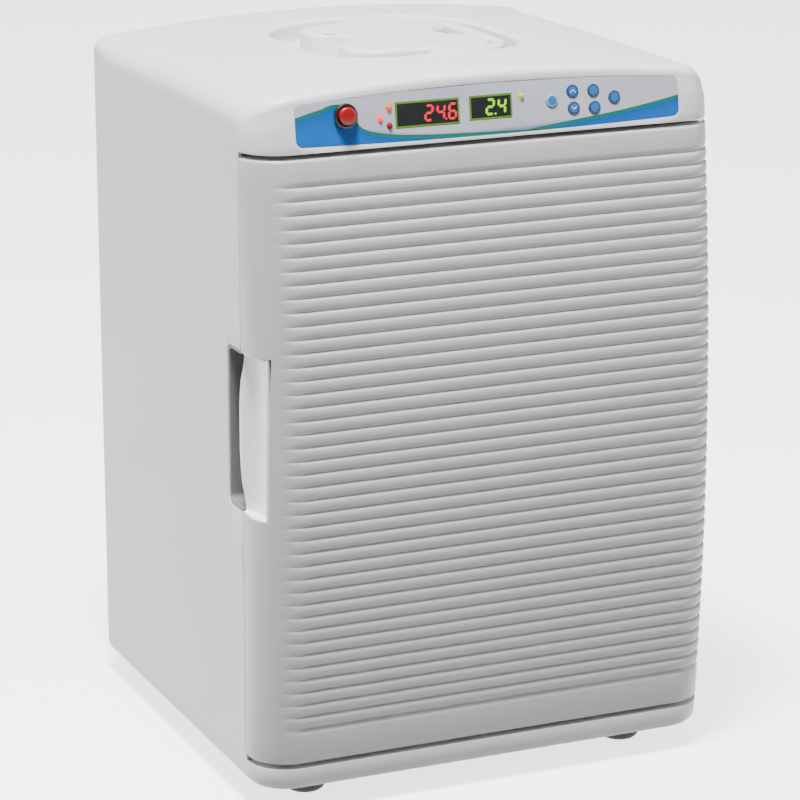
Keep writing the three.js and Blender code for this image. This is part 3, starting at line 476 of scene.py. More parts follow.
def moulded(name, colour, roughness, grain, depth, tint="#ffffff", **constants):
    """Moulded plastic: an even colour that drifts a little, with the fine spark grain of the tool's face."""
    material, shader = new_material(name, IOR=1.53, **constants)
    place = object_place(material)
    drift = add_node(material, "ShaderNodeTexNoise", {"Vector": place, "Scale": 9.0, "Detail": 2.0})
    drifted = mixed_colour(material, drift.outputs["Fac"], colour, tint, blend_type="MULTIPLY")
    material.node_tree.links.new(drifted, shader.inputs["Base Color"])
    grain_noise = add_node(material, "ShaderNodeTexNoise", {"Vector": place, "Scale": 1 / grain, "Detail": 3.0})
    gloss = add_node(material, "ShaderNodeMapRange", {
        "Value": grain_noise.outputs["Fac"], "To Min": roughness - 0.05, "To Max": roughness + 0.05})
    bump = add_node(material, "ShaderNodeBump", {
        "Height": grain_noise.outputs["Fac"], "Distance": depth, "Strength": 0.5})
    material.node_tree.links.new(gloss.outputs["Result"], shader.inputs["Roughness"])
    material.node_tree.links.new(bump.outputs["Normal"], shader.inputs["Normal"])
    return material


# Satin ABS from a spark-eroded tool: an even, slightly soft sheen. A grain of about 0.1 mm, as such tools
# leave, is too fine to show, so it is drawn at 0.8 mm.
cabinet_abs = moulded("satin_moulded_abs", "#dededd", 0.42, 0.0008, 0.00002, tint="#f7f7f7")


def applied(piece, sharp=None):
    """Replaces a piece's mesh by the result of its modifiers, smooth up to a sharp angle if one is given."""
    bpy.context.view_layer.update()
    graph = bpy.context.evaluated_depsgraph_get()
    made = bpy.data.meshes.new_from_object(piece.evaluated_get(graph))
    piece.modifiers.clear()
    piece.data = made
    if sharp is not None:
        smoothed(made, sharp)


def rounded_edges(piece, width, segments, limit):
    """Rounds the edges of a piece that turn by more than a limit."""
    rounding = piece.modifiers.new("edge", "BEVEL")
    rounding.width = width
    rounding.segments = segments
    rounding.limit_method = "ANGLE"
    rounding.angle_limit = limit


def walled(piece, thickness, edge=None):
    """Gives a shell its wall, inwards, and rounds the wall's open edges."""
    wall = piece.modifiers.new("wall", "SOLIDIFY")
    wall.thickness = thickness
    wall.offset = -1
    wall.use_even_offset = False
    if edge is not None:
        rounded_edges(piece, edge, 3, radians(55))


def carved(piece, cutters):
    """Subtracts closed meshes from a piece, one by one."""
    for bm in cutters:
        cutter = added_mesh("cutter", bm)
        cut_modifier = piece.modifiers.new("cut", "BOOLEAN")
        cut_modifier.operation = "DIFFERENCE"
        cut_modifier.solver = "EXACT"
        cut_modifier.object = cutter
        applied(piece)
        bpy.data.objects.remove(cutter)


def extruded(bm, outline, direction):
    """Adds a flat outline of points to a bmesh, extruded along a direction."""
    face = bm.faces.new([bm.verts.new(p) for p in outline])
    made = bmesh.ops.extrude_face_region(bm, geom=[face])["geom"]
    bmesh.ops.translate(bm, verts=[v for v in made if isinstance(v, bmesh.types.BMVert)], vec=direction)


def prism(outline, direction):
    """A closed bmesh: a flat outline of points, extruded along a direction."""
    bm = bmesh.new()
    extruded(bm, outline, direction)
    bmesh.ops.recalc_face_normals(bm, faces=bm.faces)
    return bm


def rounded_outline(x0, x1, y0, y1, radius, steps=6):
    """A rounded rectangle as plan points."""
    points = []
    for cx, cy, start in ((x1 - radius, y1 - radius, 0), (x0 + radius, y1 - radius, 1),
                          (x0 + radius, y0 + radius, 2), (x1 - radius, y0 + radius, 3)):
        for i in range(steps + 1):
            angle = (start + i / steps) * pi / 2
            points.append(Vector((cx + radius * cos(angle), cy + radius * sin(angle))))
    return points


# The finger pocket's opening in the left side, and the shallow seat of the fascia's film.
POCKET_LOW = 0.203
POCKET_HIGH = 0.311
POCKET_BACK = seam_y + 0.0235
POCKET_DEPTH = 0.013
POCKET_CORNER = 0.007
SEAT_DEPTH = 0.0012
SEAT_GAP = 0.0003
PANEL_HEIGHT = 0.457
PANEL_LEAN = atan((PANEL_HEIGHT - BULGE_HEIGHT) / BULGE_RADIUS)
panel_frame = Matrix.Translation((0, front_at(PANEL_HEIGHT), PANEL_HEIGHT)) @ Matrix.Rotation(
    pi / 2 - PANEL_LEAN, 4, "X")
PANEL_HALF = 0.1347
PANEL_BOTTOM = -0.0132
PANEL_RISE = 0.0265
PANEL_ARCH = 0.0045
PANEL_SAG = 0.0018
PANEL_CORNER = 0.005


def panel_outline(grow, steps=24):
    """The film's outline on the fascia: bowed top and bottom, round corners."""
    side = PANEL_HALF + grow
    bottom = PANEL_BOTTOM - grow
    top = bottom + PANEL_RISE + 2 * grow
    inner = side - PANEL_CORNER
    points = []

    def bow(start, end, y, rise):
        for i in range(1, steps):
            t = i / steps
            points.append(Vector((start + (end - start) * t, y + 4 * rise * t * (1 - t))))

    def corner(cx, cy, start):
        for i in range(7):
            angle = start + i / 6 * pi / 2
            points.append(Vector((cx + PANEL_CORNER * cos(angle), cy + PANEL_CORNER * sin(angle))))

    bow(-inner, inner, bottom, -PANEL_SAG)
    corner(inner, bottom + PANEL_CORNER, -pi / 2)
    corner(inner, top - PANEL_CORNER, 0)
    bow(inner, -inner, top, PANEL_ARCH)
    corner(-inner, top - PANEL_CORNER, pi / 2)
    corner(-inner, bottom + PANEL_CORNER, pi)
    return points


cabinet = finished("cabinet_body", body_bm, "cabinet", cabinet_abs,
                   ("cabinet_shell", "handle_tray"), smooth=False)
walled(cabinet, SKIN)
applied(cabinet)
pocket_cut = [Vector((-HALF - 0.004, p.x, p.y))
              for p in rounded_outline(seam_y - 0.02, POCKET_BACK, POCKET_LOW, POCKET_HIGH, POCKET_CORNER)]
seat_cut = [panel_frame @ Vector((p.x, p.y, -SEAT_DEPTH)) for p in panel_outline(SEAT_GAP)]
carved(cabinet, [
    prism(pocket_cut, (POCKET_DEPTH + 0.004, 0, 0)),
    prism(seat_cut, panel_frame.to_3x3() @ Vector((0, 0, 0.006))),
])
rounded_edges(cabinet, CABINET_EDGE, 2, radians(50))
applied(cabinet, radians(40))

# The island stands on the tray's floor and is moulded in one with it.
ISLAND_EDGE = 0.0026
angles = [2 * pi * i / 240 for i in range(240)]
island_edge = [reach(island_distance, a) for a in angles]
island_out = [outward(island_distance, p) for p in island_edge]
island_rings = [[in_tray(p, z=z) for p in island_edge] for z in (TRAY_FLOOR - 0.001, TRAY_FLOOR + 0.004)]
for i in range(6):
    angle = i / 5 * pi / 2
    island_rings.append([in_tray(p - way * ISLAND_EDGE * (1 - cos(angle)), ISLAND_EDGE * (1 - sin(angle)))
                         for p, way in zip(island_edge, island_out)])
for share in (0.85, 0.6, 0.35, 0.02):
    island_rings.append([in_tray(p * share, 0) for p in island_edge])
finished("tray_island", solid_loft(island_rings), "cabinet", cabinet_abs)

# ---- Plates above and below the door ----
# The moulding's own floor of the fascia and top of the plinth, which face the door's edges across a 3 mm gap.

PLATE_INSET = 0.001
plates = (("plinth_top", door_low - DOOR_GAP, -SKIN), ("fascia_underside", door_high + DOOR_GAP, SKIN))
for name, level, rise in plates:
    front_run = [-HALF + CORNER + (HALF - CORNER) * i / 10 for i in range(1, 20)]
    bounds = [place_on_outline(p, level, PLATE_INSET) for p in plan_outline(front_run)]
    ahead = [p for p in bounds if p.y < seam_y]
    right = [p for p in ahead if p.x > 0]
    left = [p for p in ahead if p.x <= 0]
    behind = seam_y + 0.0012
    edge = [Vector((HALF - PLATE_INSET, behind, level)), Vector((-HALF + PLATE_INSET, behind, level))]
    ring = sorted(left, key=lambda p: (p.x, -p.y)) + sorted(right, key=lambda p: (p.x, p.y))
    plate = prism(ring + edge, (0, 0, rise))
    finished(name + "_plate", plate, "cabinet", cabinet_abs, smooth=False)

# ---- Feet ----
# Black moulded rubber, one under each corner: a short drum with a soft round edge and a flat sole.

foot_rubber = moulded("black_moulded_rubber", "#0e0e10", 0.72, 0.0006, 0.00003, tint="#d8d8d8")


def turned(profile, place, steps=40):
    """A turned piece: a profile of (radius, height) points from axis to axis, spun about Z and then placed."""
    bm = bmesh.new()
    row = [bm.verts.new((radius, 0, height)) for radius, height in profile]
    edges = [bm.edges.new(pair) for pair in zip(row, row[1:])]
    bmesh.ops.spin(bm, geom=[*row, *edges], cent=(0, 0, 0), axis=(0, 0, 1), angle=2 * pi, steps=steps,
                   use_merge=True)
    bmesh.ops.remove_doubles(bm, verts=bm.verts, dist=1e-6)
    bmesh.ops.dissolve_degenerate(bm, edges=bm.edges, dist=1e-7)
    bmesh.ops.recalc_face_normals(bm, faces=bm.faces)
    bmesh.ops.transform(bm, matrix=place, verts=bm.verts)
    return bm


def arc_points(cx, cy, radius, start, end, steps):
    """Points of an arc, as (x, y) pairs."""
    turns = [start + (end - start) * i / steps for i in range(steps + 1)]
    return [(cx + radius * cos(turn), cy + radius * sin(turn)) for turn in turns]


FOOT_EDGE = 0.0055
for name in ("foot_front_left", "foot_front_right", "foot_rear_left", "foot_rear_right"):
    low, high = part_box(name)
    radius = (high.x - low.x) / 2
    soft_edge = arc_points(radius - FOOT_EDGE, FOOT_EDGE, FOOT_EDGE, -pi / 2, 0, 6)
    profile = [(0, 0), *soft_edge, (radius, high.z), (0, high.z)]
    middle = Matrix.Translation(((low.x + high.x) / 2, (low.y + high.y) / 2, 0))
    finished(name + "_drum", turned(profile, middle), "cabinet", foot_rubber, (name,))

# ---- Carry handle ----
# Half a ring in the cabinet's ABS that lies in the right half of the tray, flush with the dome. Round hubs at
# its two ends turn on steel pins.

HANDLE_HALF_WIDTH = 0.063
HANDLE_GAP = 0.0014
HANDLE_EDGE = 0.0024
HUB_RADIUS = 0.0066
HUB_TIP = 0.94
PIVOT_DROP = 0.0095
PIVOT_Z = TOP - PIVOT_DROP
HANDLE_CORNER = TRAY_CORNER - 0.004
handle_low = TRAY_FLOOR + HANDLE_GAP
inner_half = ISLAND_HALF + Vector((HANDLE_GAP, HANDLE_GAP))
outer_half = Vector((HANDLE_HALF_WIDTH, TRAY_HALF.y - HANDLE_GAP))


def inner_distance(p):
    return rounded_distance(p, inner_half, ISLAND_CORNER + HANDLE_GAP)


def outer_distance(p):
    return rounded_distance(p, outer_half, HANDLE_CORNER)


def handle_section(inner, outer, low, high=None):
    """A section across the handle: a rounded rectangle, flush with the dome unless a height is given."""
    width = (outer - inner).length
    way = (outer - inner) / width
    points = []
    for at_outer, quarter in ((True, 0), (False, 1), (False, 2), (True, 3)):
        for i in range(5):
            turn = (quarter + i / 4) * pi / 2
            edge = min(HANDLE_EDGE, width / 2.2, HANDLE_EDGE if high is None else (high - low) / 2.2)
            p = inner + way * ((width - edge if at_outer else edge) + edge * cos(turn))
            top = dome_at(p.x, p.y + TRAY_Y) if high is None else high
            centre = top - edge if quarter < 2 else low + edge
            points.append(Vector((p.x, p.y + TRAY_Y, centre + edge * sin(turn))))
    return points


def hub_sections(side):
    """The round hub at one end of the handle, from its tip to the ring."""
    sections = []
    for i in range(6):
        turn = (1 - i / 6) * pi / 2 * HUB_TIP
        back, rise = HUB_RADIUS * sin(turn), HUB_RADIUS * cos(turn)
        inner, outer = (Vector((-back, side * half.y)) for half in (inner_half, outer_half))
        sections.append(handle_section(inner, outer, PIVOT_Z - rise, PIVOT_Z + rise))
    return sections


sweep = [-pi / 2 + pi * i / 72 for i in range(1, 72)]
handle_rings = hub_sections(-1)
handle_rings += [handle_section(reach(inner_distance, a), reach(outer_distance, a), handle_low)
                 for a in sweep]
handle_rings += hub_sections(1)[::-1]
finished("carry_handle_grip", solid_loft(handle_rings), "handle", cabinet_abs,
         ("carry_handle",))

# ---- Door panel ----
# Moulded in satin ABS, a shade greyer than the cabinet. Its front carries 42 ribs that are round below and
# crisp at their upper edge. They die out beside the grip and run on round the right corner.

RIB_COUNT = 42
RIB_PITCH = 0.00876
RIB_DEPTH = 0.0016
RIB_SHARES = (0, 0.06, 0.16, 0.3, 0.45, 0.6, 0.74, 0.86, 0.94, 0.98)
LOWER_BEND = 1.9
UPPER_BEND = 5
FIRST_RIB = door_high - 0.0177
RIB_START = -0.153
RIB_FULL = -0.131
DOOR_EDGE = 0.0024
DOOR_SKIN = 0.0022
door_rear = seam_y - 0.001
hinge_axis = Vector(next(j["pos_m"] for j in frame["joints"] if j["child"] == "door"))
HINGE_SWING = 0.0124


def smooth_step(value):
    share = min(max(value, 0), 1)
    return share * share * (3 - 2 * share)


def rib_share(x):
    """How deep the valleys are at a place across the front, from 0 to 1."""
    return smooth_step((x - RIB_START) / (RIB_FULL - RIB_START))


def door_outline():
    """The door's plan from its left rear edge round the front: points as in plan_outline, with a rib share."""
    points = []
    inner = HALF - CORNER
    side_steps = 8
    corner_steps = 14
    fade_steps = 3
    behind = seam_y + 0.004

    def side(x, steps):
        for i in steps:
            share = i / side_steps
            y = behind + (FRONT + CORNER - behind) * share
            points.append(((x, y, Vector((x / abs(x), 0)), share), 0))

    def corner(cx, start, ribbed):
        for i in range(corner_steps + 1):
            turn = start + i / corner_steps * pi / 2
            x, y = cx + CORNER * cos(turn), FRONT + CORNER + CORNER * sin(turn)
            points.append(((x, y, Vector((cos(turn), sin(turn))), 1), ribbed(i, x)))

    side(-HALF, range(side_steps))
    corner(-inner, pi, lambda i, x: rib_share(x))
    run = [-inner + 0.002 * i for i in range(1, 12)]
    run += [run[-1] + (inner - run[-1]) * i / 24 for i in range(1, 24)]
    points.extend(((x, FRONT, Vector((0, -1)), 1), rib_share(x)) for x in run)
    corner(inner, 1.5 * pi, lambda i, x: smooth_step((corner_steps - i) / fade_steps))
    side(HALF, range(side_steps - 1, -1, -1))
    return points


def door_levels():
    """Heights up the door with how far the outline is pulled in there and how deep the ribs' valley is."""
    turns = [i / 5 * pi / 2 for i in range(6)]
    levels = [(door_low + DOOR_EDGE * (1 - cos(turn)), DOOR_EDGE * (1 - sin(turn)), 0) for turn in turns]
    last = FIRST_RIB - (RIB_COUNT - 1) * RIB_PITCH
    fade = RIB_PITCH * 0.5
    levels += [(last - fade * (1 - i / 4), 0, RIB_DEPTH * (i / 4) ** 2) for i in range(4)]
    for rib in range(RIB_COUNT - 1):
        base = last + rib * RIB_PITCH
        for share in RIB_SHARES:
            bend = LOWER_BEND if share < 0.5 else UPPER_BEND
            levels.append((base + RIB_PITCH * share, 0, RIB_DEPTH * abs(2 * share - 1) ** bend))
    levels += [(FIRST_RIB + fade * i / 4, 0, RIB_DEPTH * (1 - i / 4) ** 2) for i in range(5)]
    levels += [(door_high - DOOR_EDGE * (1 - cos(turn)), DOOR_EDGE * (1 - sin(turn)), 0)
               for turn in turns[::-1]]
    return levels


GRIP_SCOOP = 0.0075
GRIP_THICK = 0.0025
GRIP_FRONT = seam_y - 0.029
scoop_x = -HALF + GRIP_SCOOP
door_bm = bmesh.new()
outline = door_outline()
door_rows = loft(door_bm, [[place_on_outline(p, z, pull + depth * rib) for p, rib in outline]
                           for z, pull, depth in door_levels()], closed=False)
for row in (door_rows[0], door_rows[-1]):
    door_bm.faces.new(row)
bmesh.ops.recalc_face_normals(door_bm, faces=door_bm.faces)
if sum((f.normal.y for f in door_bm.faces if abs(f.calc_center_median().x) < 0.05)) > 0:
    bmesh.ops.reverse_faces(door_bm, faces=door_bm.faces)
for vertex in door_bm.verts:
    arm = Vector((vertex.co.x - hinge_axis.x, vertex.co.y - hinge_axis.y))
    if arm.x > 0 and arm.y > 0 and arm.length > HINGE_SWING:
        arm *= HINGE_SWING / arm.length
        vertex.co.x, vertex.co.y = hinge_axis.x + arm.x, hinge_axis.y + arm.y
bmesh.ops.bisect_plane(door_bm, geom=[*door_bm.verts, *door_bm.edges, *door_bm.faces],
                       plane_co=(0, door_rear, 0), plane_no=(0, 1, 0), clear_outer=True, dist=1e-6)
notch_front = GRIP_FRONT - 0.0006
for point, normal in (((0, 0, POCKET_LOW), (0, 0, 1)), ((0, 0, POCKET_HIGH), (0, 0, 1)),
                      ((0, notch_front, 0), (0, 1, 0))):
    split(door_bm, point, normal, [f for f in door_bm.faces if f.calc_center_median().x < -0.14])


def in_grip_notch(c):
    return c.x < scoop_x + GRIP_THICK and c.y > notch_front and POCKET_LOW < c.z < POCKET_HIGH


cut_away(door_bm, in_grip_notch)
door_abs = moulded("satin_moulded_door_abs", "#bcbcbc", 0.40, 0.0008, 0.00002, tint="#f6f6f6")
door = finished("door_panel_ribbed", door_bm, "door", door_abs, ("door_outer_panel",),
                smooth=False)
walled(door, DOOR_SKIN)
applied(door, radians(38))

# ---- Grip plate and finger pocket ----
# The plate is polished white ABS, set into the door's edge: a scoop that runs straight back from the front
# and flares to the side, with a bowed rear lip over the pocket. The pocket is a cup whose matt grey is
# painted shade, the shadow inside the recess put into its colour.

FLARE_RADIUS = 0.026
FLARE_START = seam_y - 0.017
GRIP_LIP = 0.005
GRIP_GAP = 0.0010
GRIP_WALL = 0.0017
GRIP_EDGE = 0.0006
FRONT_RIM = (1, 0.3)
plate_low = POCKET_LOW + GRIP_GAP
plate_high = POCKET_HIGH - GRIP_GAP


def scoop_at(y):
    """The scoop's face at a depth into the door's edge."""
    behind = max(y - FLARE_START, 0)
    x = scoop_x - FLARE_RADIUS + sqrt(FLARE_RADIUS**2 - behind**2)
    return max(x, -HALF + 0.0003)


def side_at(y, z):
    """The door's outer side at a depth and a height."""
    ahead = max(front_at(z) + CORNER - y, 0)
    return -HALF + CORNER - sqrt(CORNER**2 - ahead**2)


def grip_rings():
    """Sections up the plate: a rim that reaches out to the door's side at each end, and the scoop between."""
    rings = []
    rows = 28
    rim = [(0, 1), (0.003, 0.4), (0.008, 0.1)]
    rim_above = [(1 - share, reach_out) for share, reach_out in rim[::-1]]
    for share, reach_out in rim + [(row / rows, 0) for row in range(1, rows)] + rim_above:
        z = plate_low + (plate_high - plate_low) * share
        back = seam_y + GRIP_LIP * smooth_step(min(share, 1 - share) * 2.6) - 0.0012
        front = GRIP_FRONT + GRIP_GAP
        ring = []
        for i in range(25):
            y = front + (back - front) * i / 24
            x = scoop_at(y)
            out = max(reach_out, FRONT_RIM[i] if i < len(FRONT_RIM) else 0)
            ring.append(Vector((x + out * (min(side_at(y, z) + 0.0003, x) - x), y, z)))
        rings.append(ring)
    return rings


grip_bm = bmesh.new()
loft(grip_bm, grip_rings(), closed=False)
if sum(f.normal.x for f in grip_bm.faces) > 0:
    bmesh.ops.reverse_faces(grip_bm, faces=grip_bm.faces)
grip_abs = moulded("polished_white_abs", "#f6f6f6", 0.2, 0.003, 0.000004, tint="#ffffff", Coat_Weight=0.25)
grip = finished("grip_plate_scoop", grip_bm, "door", grip_abs, ("door_grip_plate",), smooth=False)
walled(grip, GRIP_WALL, edge=GRIP_EDGE)
applied(grip, radians(45))

# Painted shade: the pocket's mid grey stands for the shadow that falls inside the recess.
pocket_shade_abs = moulded("matt_grey_painted_shade_abs", "#7d7d7d", 0.6, 0.0008, 0.00002, tint="#ececec")


def finish_node(names, material):
    """Gives CAD nodes that stay in view their real material."""
    for name in names:
        nodes[name].data.materials.clear()
        nodes[name].data.materials.append(material)


# The pocket gets the grey of painted shade, not a grey part.
finish_node(["grip_pocket"], pocket_shade_abs)

# ---- Fascia film ----
# Polyester film printed from behind: a silver ground with a pale lilac cast, blue sweeps that rise to both
# ends with a green line along their upper edges, and a soft violet band along the bottom between them.


def panel_place(material, centre=(0, 0)):
    """Coordinates on the fascia: across and up the slope, in metres, about a centre."""
    place = object_place(material)
    seat = panel_frame @ Matrix.Translation((centre[0], centre[1], 0))
    turned_back = add_node(material, "ShaderNodeMapping", {
        "Vector": place, "Location": seat.translation, "Rotation": seat.to_euler()}, vector_type="TEXTURE")
    split_up = add_node(material, "ShaderNodeSeparateXYZ", {"Vector": turned_back.outputs["Vector"]})
    return split_up.outputs["X"], split_up.outputs["Y"]


def maths(material, operation, *values):
    """A Math node's result."""
    return add_node(material, "ShaderNodeMath", dict(enumerate(values)), operation=operation).outputs[0]


CURVE_REACH = 0.030


def boundary(material, across, points):
    """A curve's height across the panel: points of (across, up) in millimetres, joined smoothly."""
    share = add_node(material, "ShaderNodeMapRange", {
        "Value": across, "From Min": -PANEL_HALF, "From Max": PANEL_HALF})
    curve = add_node(material, "ShaderNodeFloatCurve", {"Value": share.outputs["Result"]})
    line = curve.mapping.curves[0]
    half = PANEL_HALF * 1000
    spots = [((x + half) / (2 * half), 0.5 + y / (2000 * CURVE_REACH)) for x, y in points]
    while len(line.points) < len(spots):
        line.points.new(0.5, 0.5)
    for point, spot in zip(line.points, spots):
        point.location = spot
    curve.mapping.update()
    return add_node(material, "ShaderNodeMapRange", {
        "Value": curve.outputs["Value"], "To Min": -CURVE_REACH, "To Max": CURVE_REACH}).outputs["Result"]


def below(material, up, line, drop=0.0, soft=0.0002):
    """1 below a curve that is lowered by drop, and 0 above it."""
    gap = maths(material, "SUBTRACT", maths(material, "SUBTRACT", line, drop), up)
    edge = add_node(material, "ShaderNodeMapRange", {"Value": gap, "From Min": -soft, "From Max": soft})
    return edge.outputs["Result"]


film, film_shader = new_material("printed_polyester_film", Roughness=0.42, IOR=1.45, Specular_IOR_Level=0.3)
across, up = panel_place(film)
left_line = boundary(film, across, [(-134.7, 5.5), (-118, 9.5), (-106, 12), (-97, 6), (-88, -5), (-72, -9.2),
                                    (-52, -11.2), (-20, -12.6), (30, -14.2), (134.7, -20)])
right_line = boundary(film, across, [(-134.7, -22), (0, -18), (28, -13.6), (60, -10), (98, -5.6), (134.7, 0.5)])
band_line = boundary(film, across, [(-134.7, -20), (-92, -6), (-62, -10), (-20, -12.2), (30, -11.4), (80, -9),
                                    (134.7, -5)])
# Painted sheen: broad soft patches of the silver ground are painted lighter, as light catching the film.
painted_sheen = add_node(film, "ShaderNodeTexNoise", {"Vector": object_place(film), "Scale": 14.0, "Detail": 1.0})
ground = mixed_colour(film, painted_sheen.outputs["Fac"], "#a3a6b2", "#c6c8d4")
ground = mixed_colour(film, below(film, up, band_line, 0, 0.0012), ground, "#7f82a8")
for line in (right_line, left_line):
    ground = mixed_colour(film, below(film, up, line), ground, "#0d3a40")
    ground = mixed_colour(film, below(film, up, line, 0.0004), ground, "#0a7058")
    ground = mixed_colour(film, below(film, up, line, 0.0021, 0.0006), ground, "#0057a0")
    ground = mixed_colour(film, below(film, up, line, 0.0060, 0.0030), ground, "#0060b4")
film.node_tree.links.new(ground, film_shader.inputs["Base Color"])
finish_node(["fascia_overlay"], film)

# ---- Displays ----
# Smoked windows with a thin green line round them. Bright seven-segment digits of a plain form lie just above
# each: red for the temperature, yellow-green for the timer.

DISPLAY_HALF = {"temperature_display": 0.008, "timer_display": 0.0075}
WINDOW_BORDER = 0.0009


def smoked_window(name, node):
    """A display window's material, with its border, and the window's middle on the fascia."""
    low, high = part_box(node)
    middle = panel_frame.inverted() @ ((low + high) / 2)
    corner = panel_frame.inverted() @ Vector((high.x, (low.y + high.y) / 2, (low.z + high.z) / 2))
    half_wide = corner.x - middle.x
    half_high = DISPLAY_HALF[node]
    material, shader = new_material(name, Roughness=0.35, IOR=1.45, Specular_IOR_Level=0.2)
    x, y = panel_place(material, (middle.x, middle.y))
    inside_x = maths(material, "SUBTRACT", maths(material, "ABSOLUTE", x), half_wide - WINDOW_BORDER)
    inside_y = maths(material, "SUBTRACT", maths(material, "ABSOLUTE", y), half_high - WINDOW_BORDER)
    border = maths(material, "GREATER_THAN", maths(material, "MAXIMUM", inside_x, inside_y), 0.0)
    mottle = add_node(material, "ShaderNodeTexNoise", {"Vector": object_place(material), "Scale": 160.0})
    glass = mixed_colour(material, mottle.outputs["Fac"], "#151617", "#242727")
    material.node_tree.links.new(mixed_colour(material, border, glass, "#5d8a1c"), shader.inputs["Base Color"])
    return material, middle


SEGMENTS = {"2": "abged", "4": "fgbc", "6": "afgedc"}
DIGIT_WIDTH = 0.0063
DIGIT_HEIGHT = 0.0108
SEGMENT_WIDTH = 0.0016
SEGMENT_THICK = 0.0002
SLANT = 0.1
segment_lift = panel_frame.to_3x3() @ Vector((0, 0, SEGMENT_THICK))


def segment_ends(letter):
    """The two ends of a segment in a digit whose middle is at the origin."""
    x, y = DIGIT_WIDTH / 2 - SEGMENT_WIDTH / 2, DIGIT_HEIGHT / 2 - SEGMENT_WIDTH / 2
    corners = {"a": ((-x, y), (x, y)), "b": ((x, y), (x, 0)), "c": ((x, 0), (x, -y)),
               "d": ((-x, -y), (x, -y)), "e": ((-x, 0), (-x, -y)), "f": ((-x, y), (-x, 0)),
               "g": ((-x, 0), (x, 0))}
    return [Vector(end) for end in corners[letter]]


def digit_bars(bm, letters, middle):
    """Pointed bars of one digit, as thin solids just above the window."""
    for letter in letters:
        start, end = segment_ends(letter)
        way = (end - start).normalized()
        side = Vector((-way.y, way.x)) * SEGMENT_WIDTH / 2
        start, end = start + way * 0.0002, end - way * 0.0002
        tip = way * SEGMENT_WIDTH / 2
        outline = [start, start + tip - side, end - tip - side, end, end - tip + side, start + tip + side]
        flat = [Vector((middle[0] + p.x + SLANT * p.y, middle[1] + p.y, DIGIT_LIFT)) for p in outline]
        extruded(bm, [panel_frame @ p for p in flat], segment_lift)


def glowing(name, colour, strength):
    """A lit plastic lens: its colour with a glow of its own."""
    material, shader = new_material(name, Roughness=0.45, IOR=1.45, Specular_IOR_Level=0.2,
                                    Emission_Color=linear(colour), Emission_Strength=strength)
    grain = add_node(material, "ShaderNodeTexNoise", {"Vector": object_place(material), "Scale": 900.0})
    lit = mixed_colour(material, grain.outputs["Fac"], "#181010", colour)
    material.node_tree.links.new(lit, shader.inputs["Base Color"])
    return material


# Each display: its digits, the digit that the point follows, the first digit's place from the window's
# middle, and the colour.
DIGIT_LIFT = 0.0002
DIGIT_STEP = 0.0082
DOT_RADIUS = 0.0007
readings = {
    "temperature_display": ("temperature_digits", "246", 1, 0.0010, "#ff0a34"),
    "timer_display": ("timer_digits", "24", 0, -0.0005, "#9cf000"),
}
for node, (name, digits, point_after, shift, colour) in readings.items():
    window, middle = smoked_window("smoked_" + node, node)
    finish_node([node], window)
    digit_bm = bmesh.new()
    first = middle.x + shift
    for place_no, digit in enumerate(digits):
        digit_bars(digit_bm, SEGMENTS[digit], (first + place_no * DIGIT_STEP, middle.y))
        if place_no == point_after:
            dot_x = first + (place_no + 0.5) * DIGIT_STEP - 0.0006
            dot_y = middle.y - DIGIT_HEIGHT / 2 + SEGMENT_WIDTH / 2
            turns = [i * pi / 4 for i in range(8)]
            dot = [(dot_x + DOT_RADIUS * cos(a), dot_y + DOT_RADIUS * sin(a), DIGIT_LIFT) for a in turns]
            extruded(digit_bm, [panel_frame @ Vector(p) for p in dot], segment_lift)
    bmesh.ops.recalc_face_normals(digit_bm, faces=digit_bm.faces)
    finished(name, digit_bm, "cabinet", glowing(name + "_glow", colour, 0.9),
             smooth=False)

# ---- Lamps, button and keys ----
# Domed lens caps, a red push button in a black bezel, and silicone keys under the film with a pale blue face.


def fascia_spot(node):
    """The place of a round fascia piece: its frame on the fascia and its radius."""
    low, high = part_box(node)
    local = panel_frame.inverted() @ ((low + high) / 2)
    return panel_frame @ Matrix.Translation((local.x, local.y, 0)), (high.x - low.x) / 2


LENS_DEPTH = 0.006
LAMPS = {"led_heat": ("#ff7800", 0.8), "led_power": ("#ff2a2a", 2.2), "led_cool": ("#a80808", 0.25),
         "led_timer": ("#c0e800", 0.7)}
for node, (colour, strength) in LAMPS.items():
    spot, radius = fascia_spot(node)
    dome = arc_points(0, -0.0006, radius + 0.0001, 0.45, pi / 2, 6)[1:]
    lens_profile = [(0, -LENS_DEPTH), (radius, -LENS_DEPTH), (radius, 0.0002), *dome[:-1], (0, dome[-1][1])]
    finished(node + "_lens", turned(lens_profile, spot, 24), "cabinet",
             glowing(node + "_glow", colour, strength), (node,))

black_plastic = moulded("black_moulded_nylon", "#0c0c0e", 0.45, 0.0008, 0.00001, tint="#d0d0d0",
                        Specular_IOR_Level=0.3)
spot, bezel_radius = fascia_spot("power_button_bezel")
_, button_radius = fascia_spot("power_button")
well = button_radius + 0.0003
bezel_edge = arc_points(bezel_radius - 0.0012, 0.0014, 0.0012, -pi / 2, pi / 2, 8)
bezel_profile = [(0, -0.016), (0.007, -0.016), (0.007, 0.0003), *bezel_edge, (well + 0.0004, 0.0026),
                 (well, 0.0022), (well, -0.014), (0, -0.014)]
finished("button_bezel_ring", turned(bezel_profile, spot, 48), "cabinet", black_plastic,
         ("power_button_bezel",))
red_plastic = moulded("polished_red_abs", "#8e0810", 0.3, 0.002, 0.000004, tint="#f2d8d8",
                      Specular_IOR_Level=0.35)
button_edge = arc_points(button_radius - 0.0016, 0.0044, 0.0016, 0, pi / 2, 5)[1:]
button_profile = [(0, -0.0105), (button_radius, -0.0105), (button_radius, 0.0040), *button_edge,
                  (0.003, 0.0062), (0, 0.00635)]
finished("power_button_cap", turned(button_profile, spot, 48), "power_button", red_plastic,
         ("power_button",))


def key_film(name, colour, tint):
    return moulded(name, colour, 0.4, 0.001, 0.000004, tint=tint, Specular_IOR_Level=0.3)


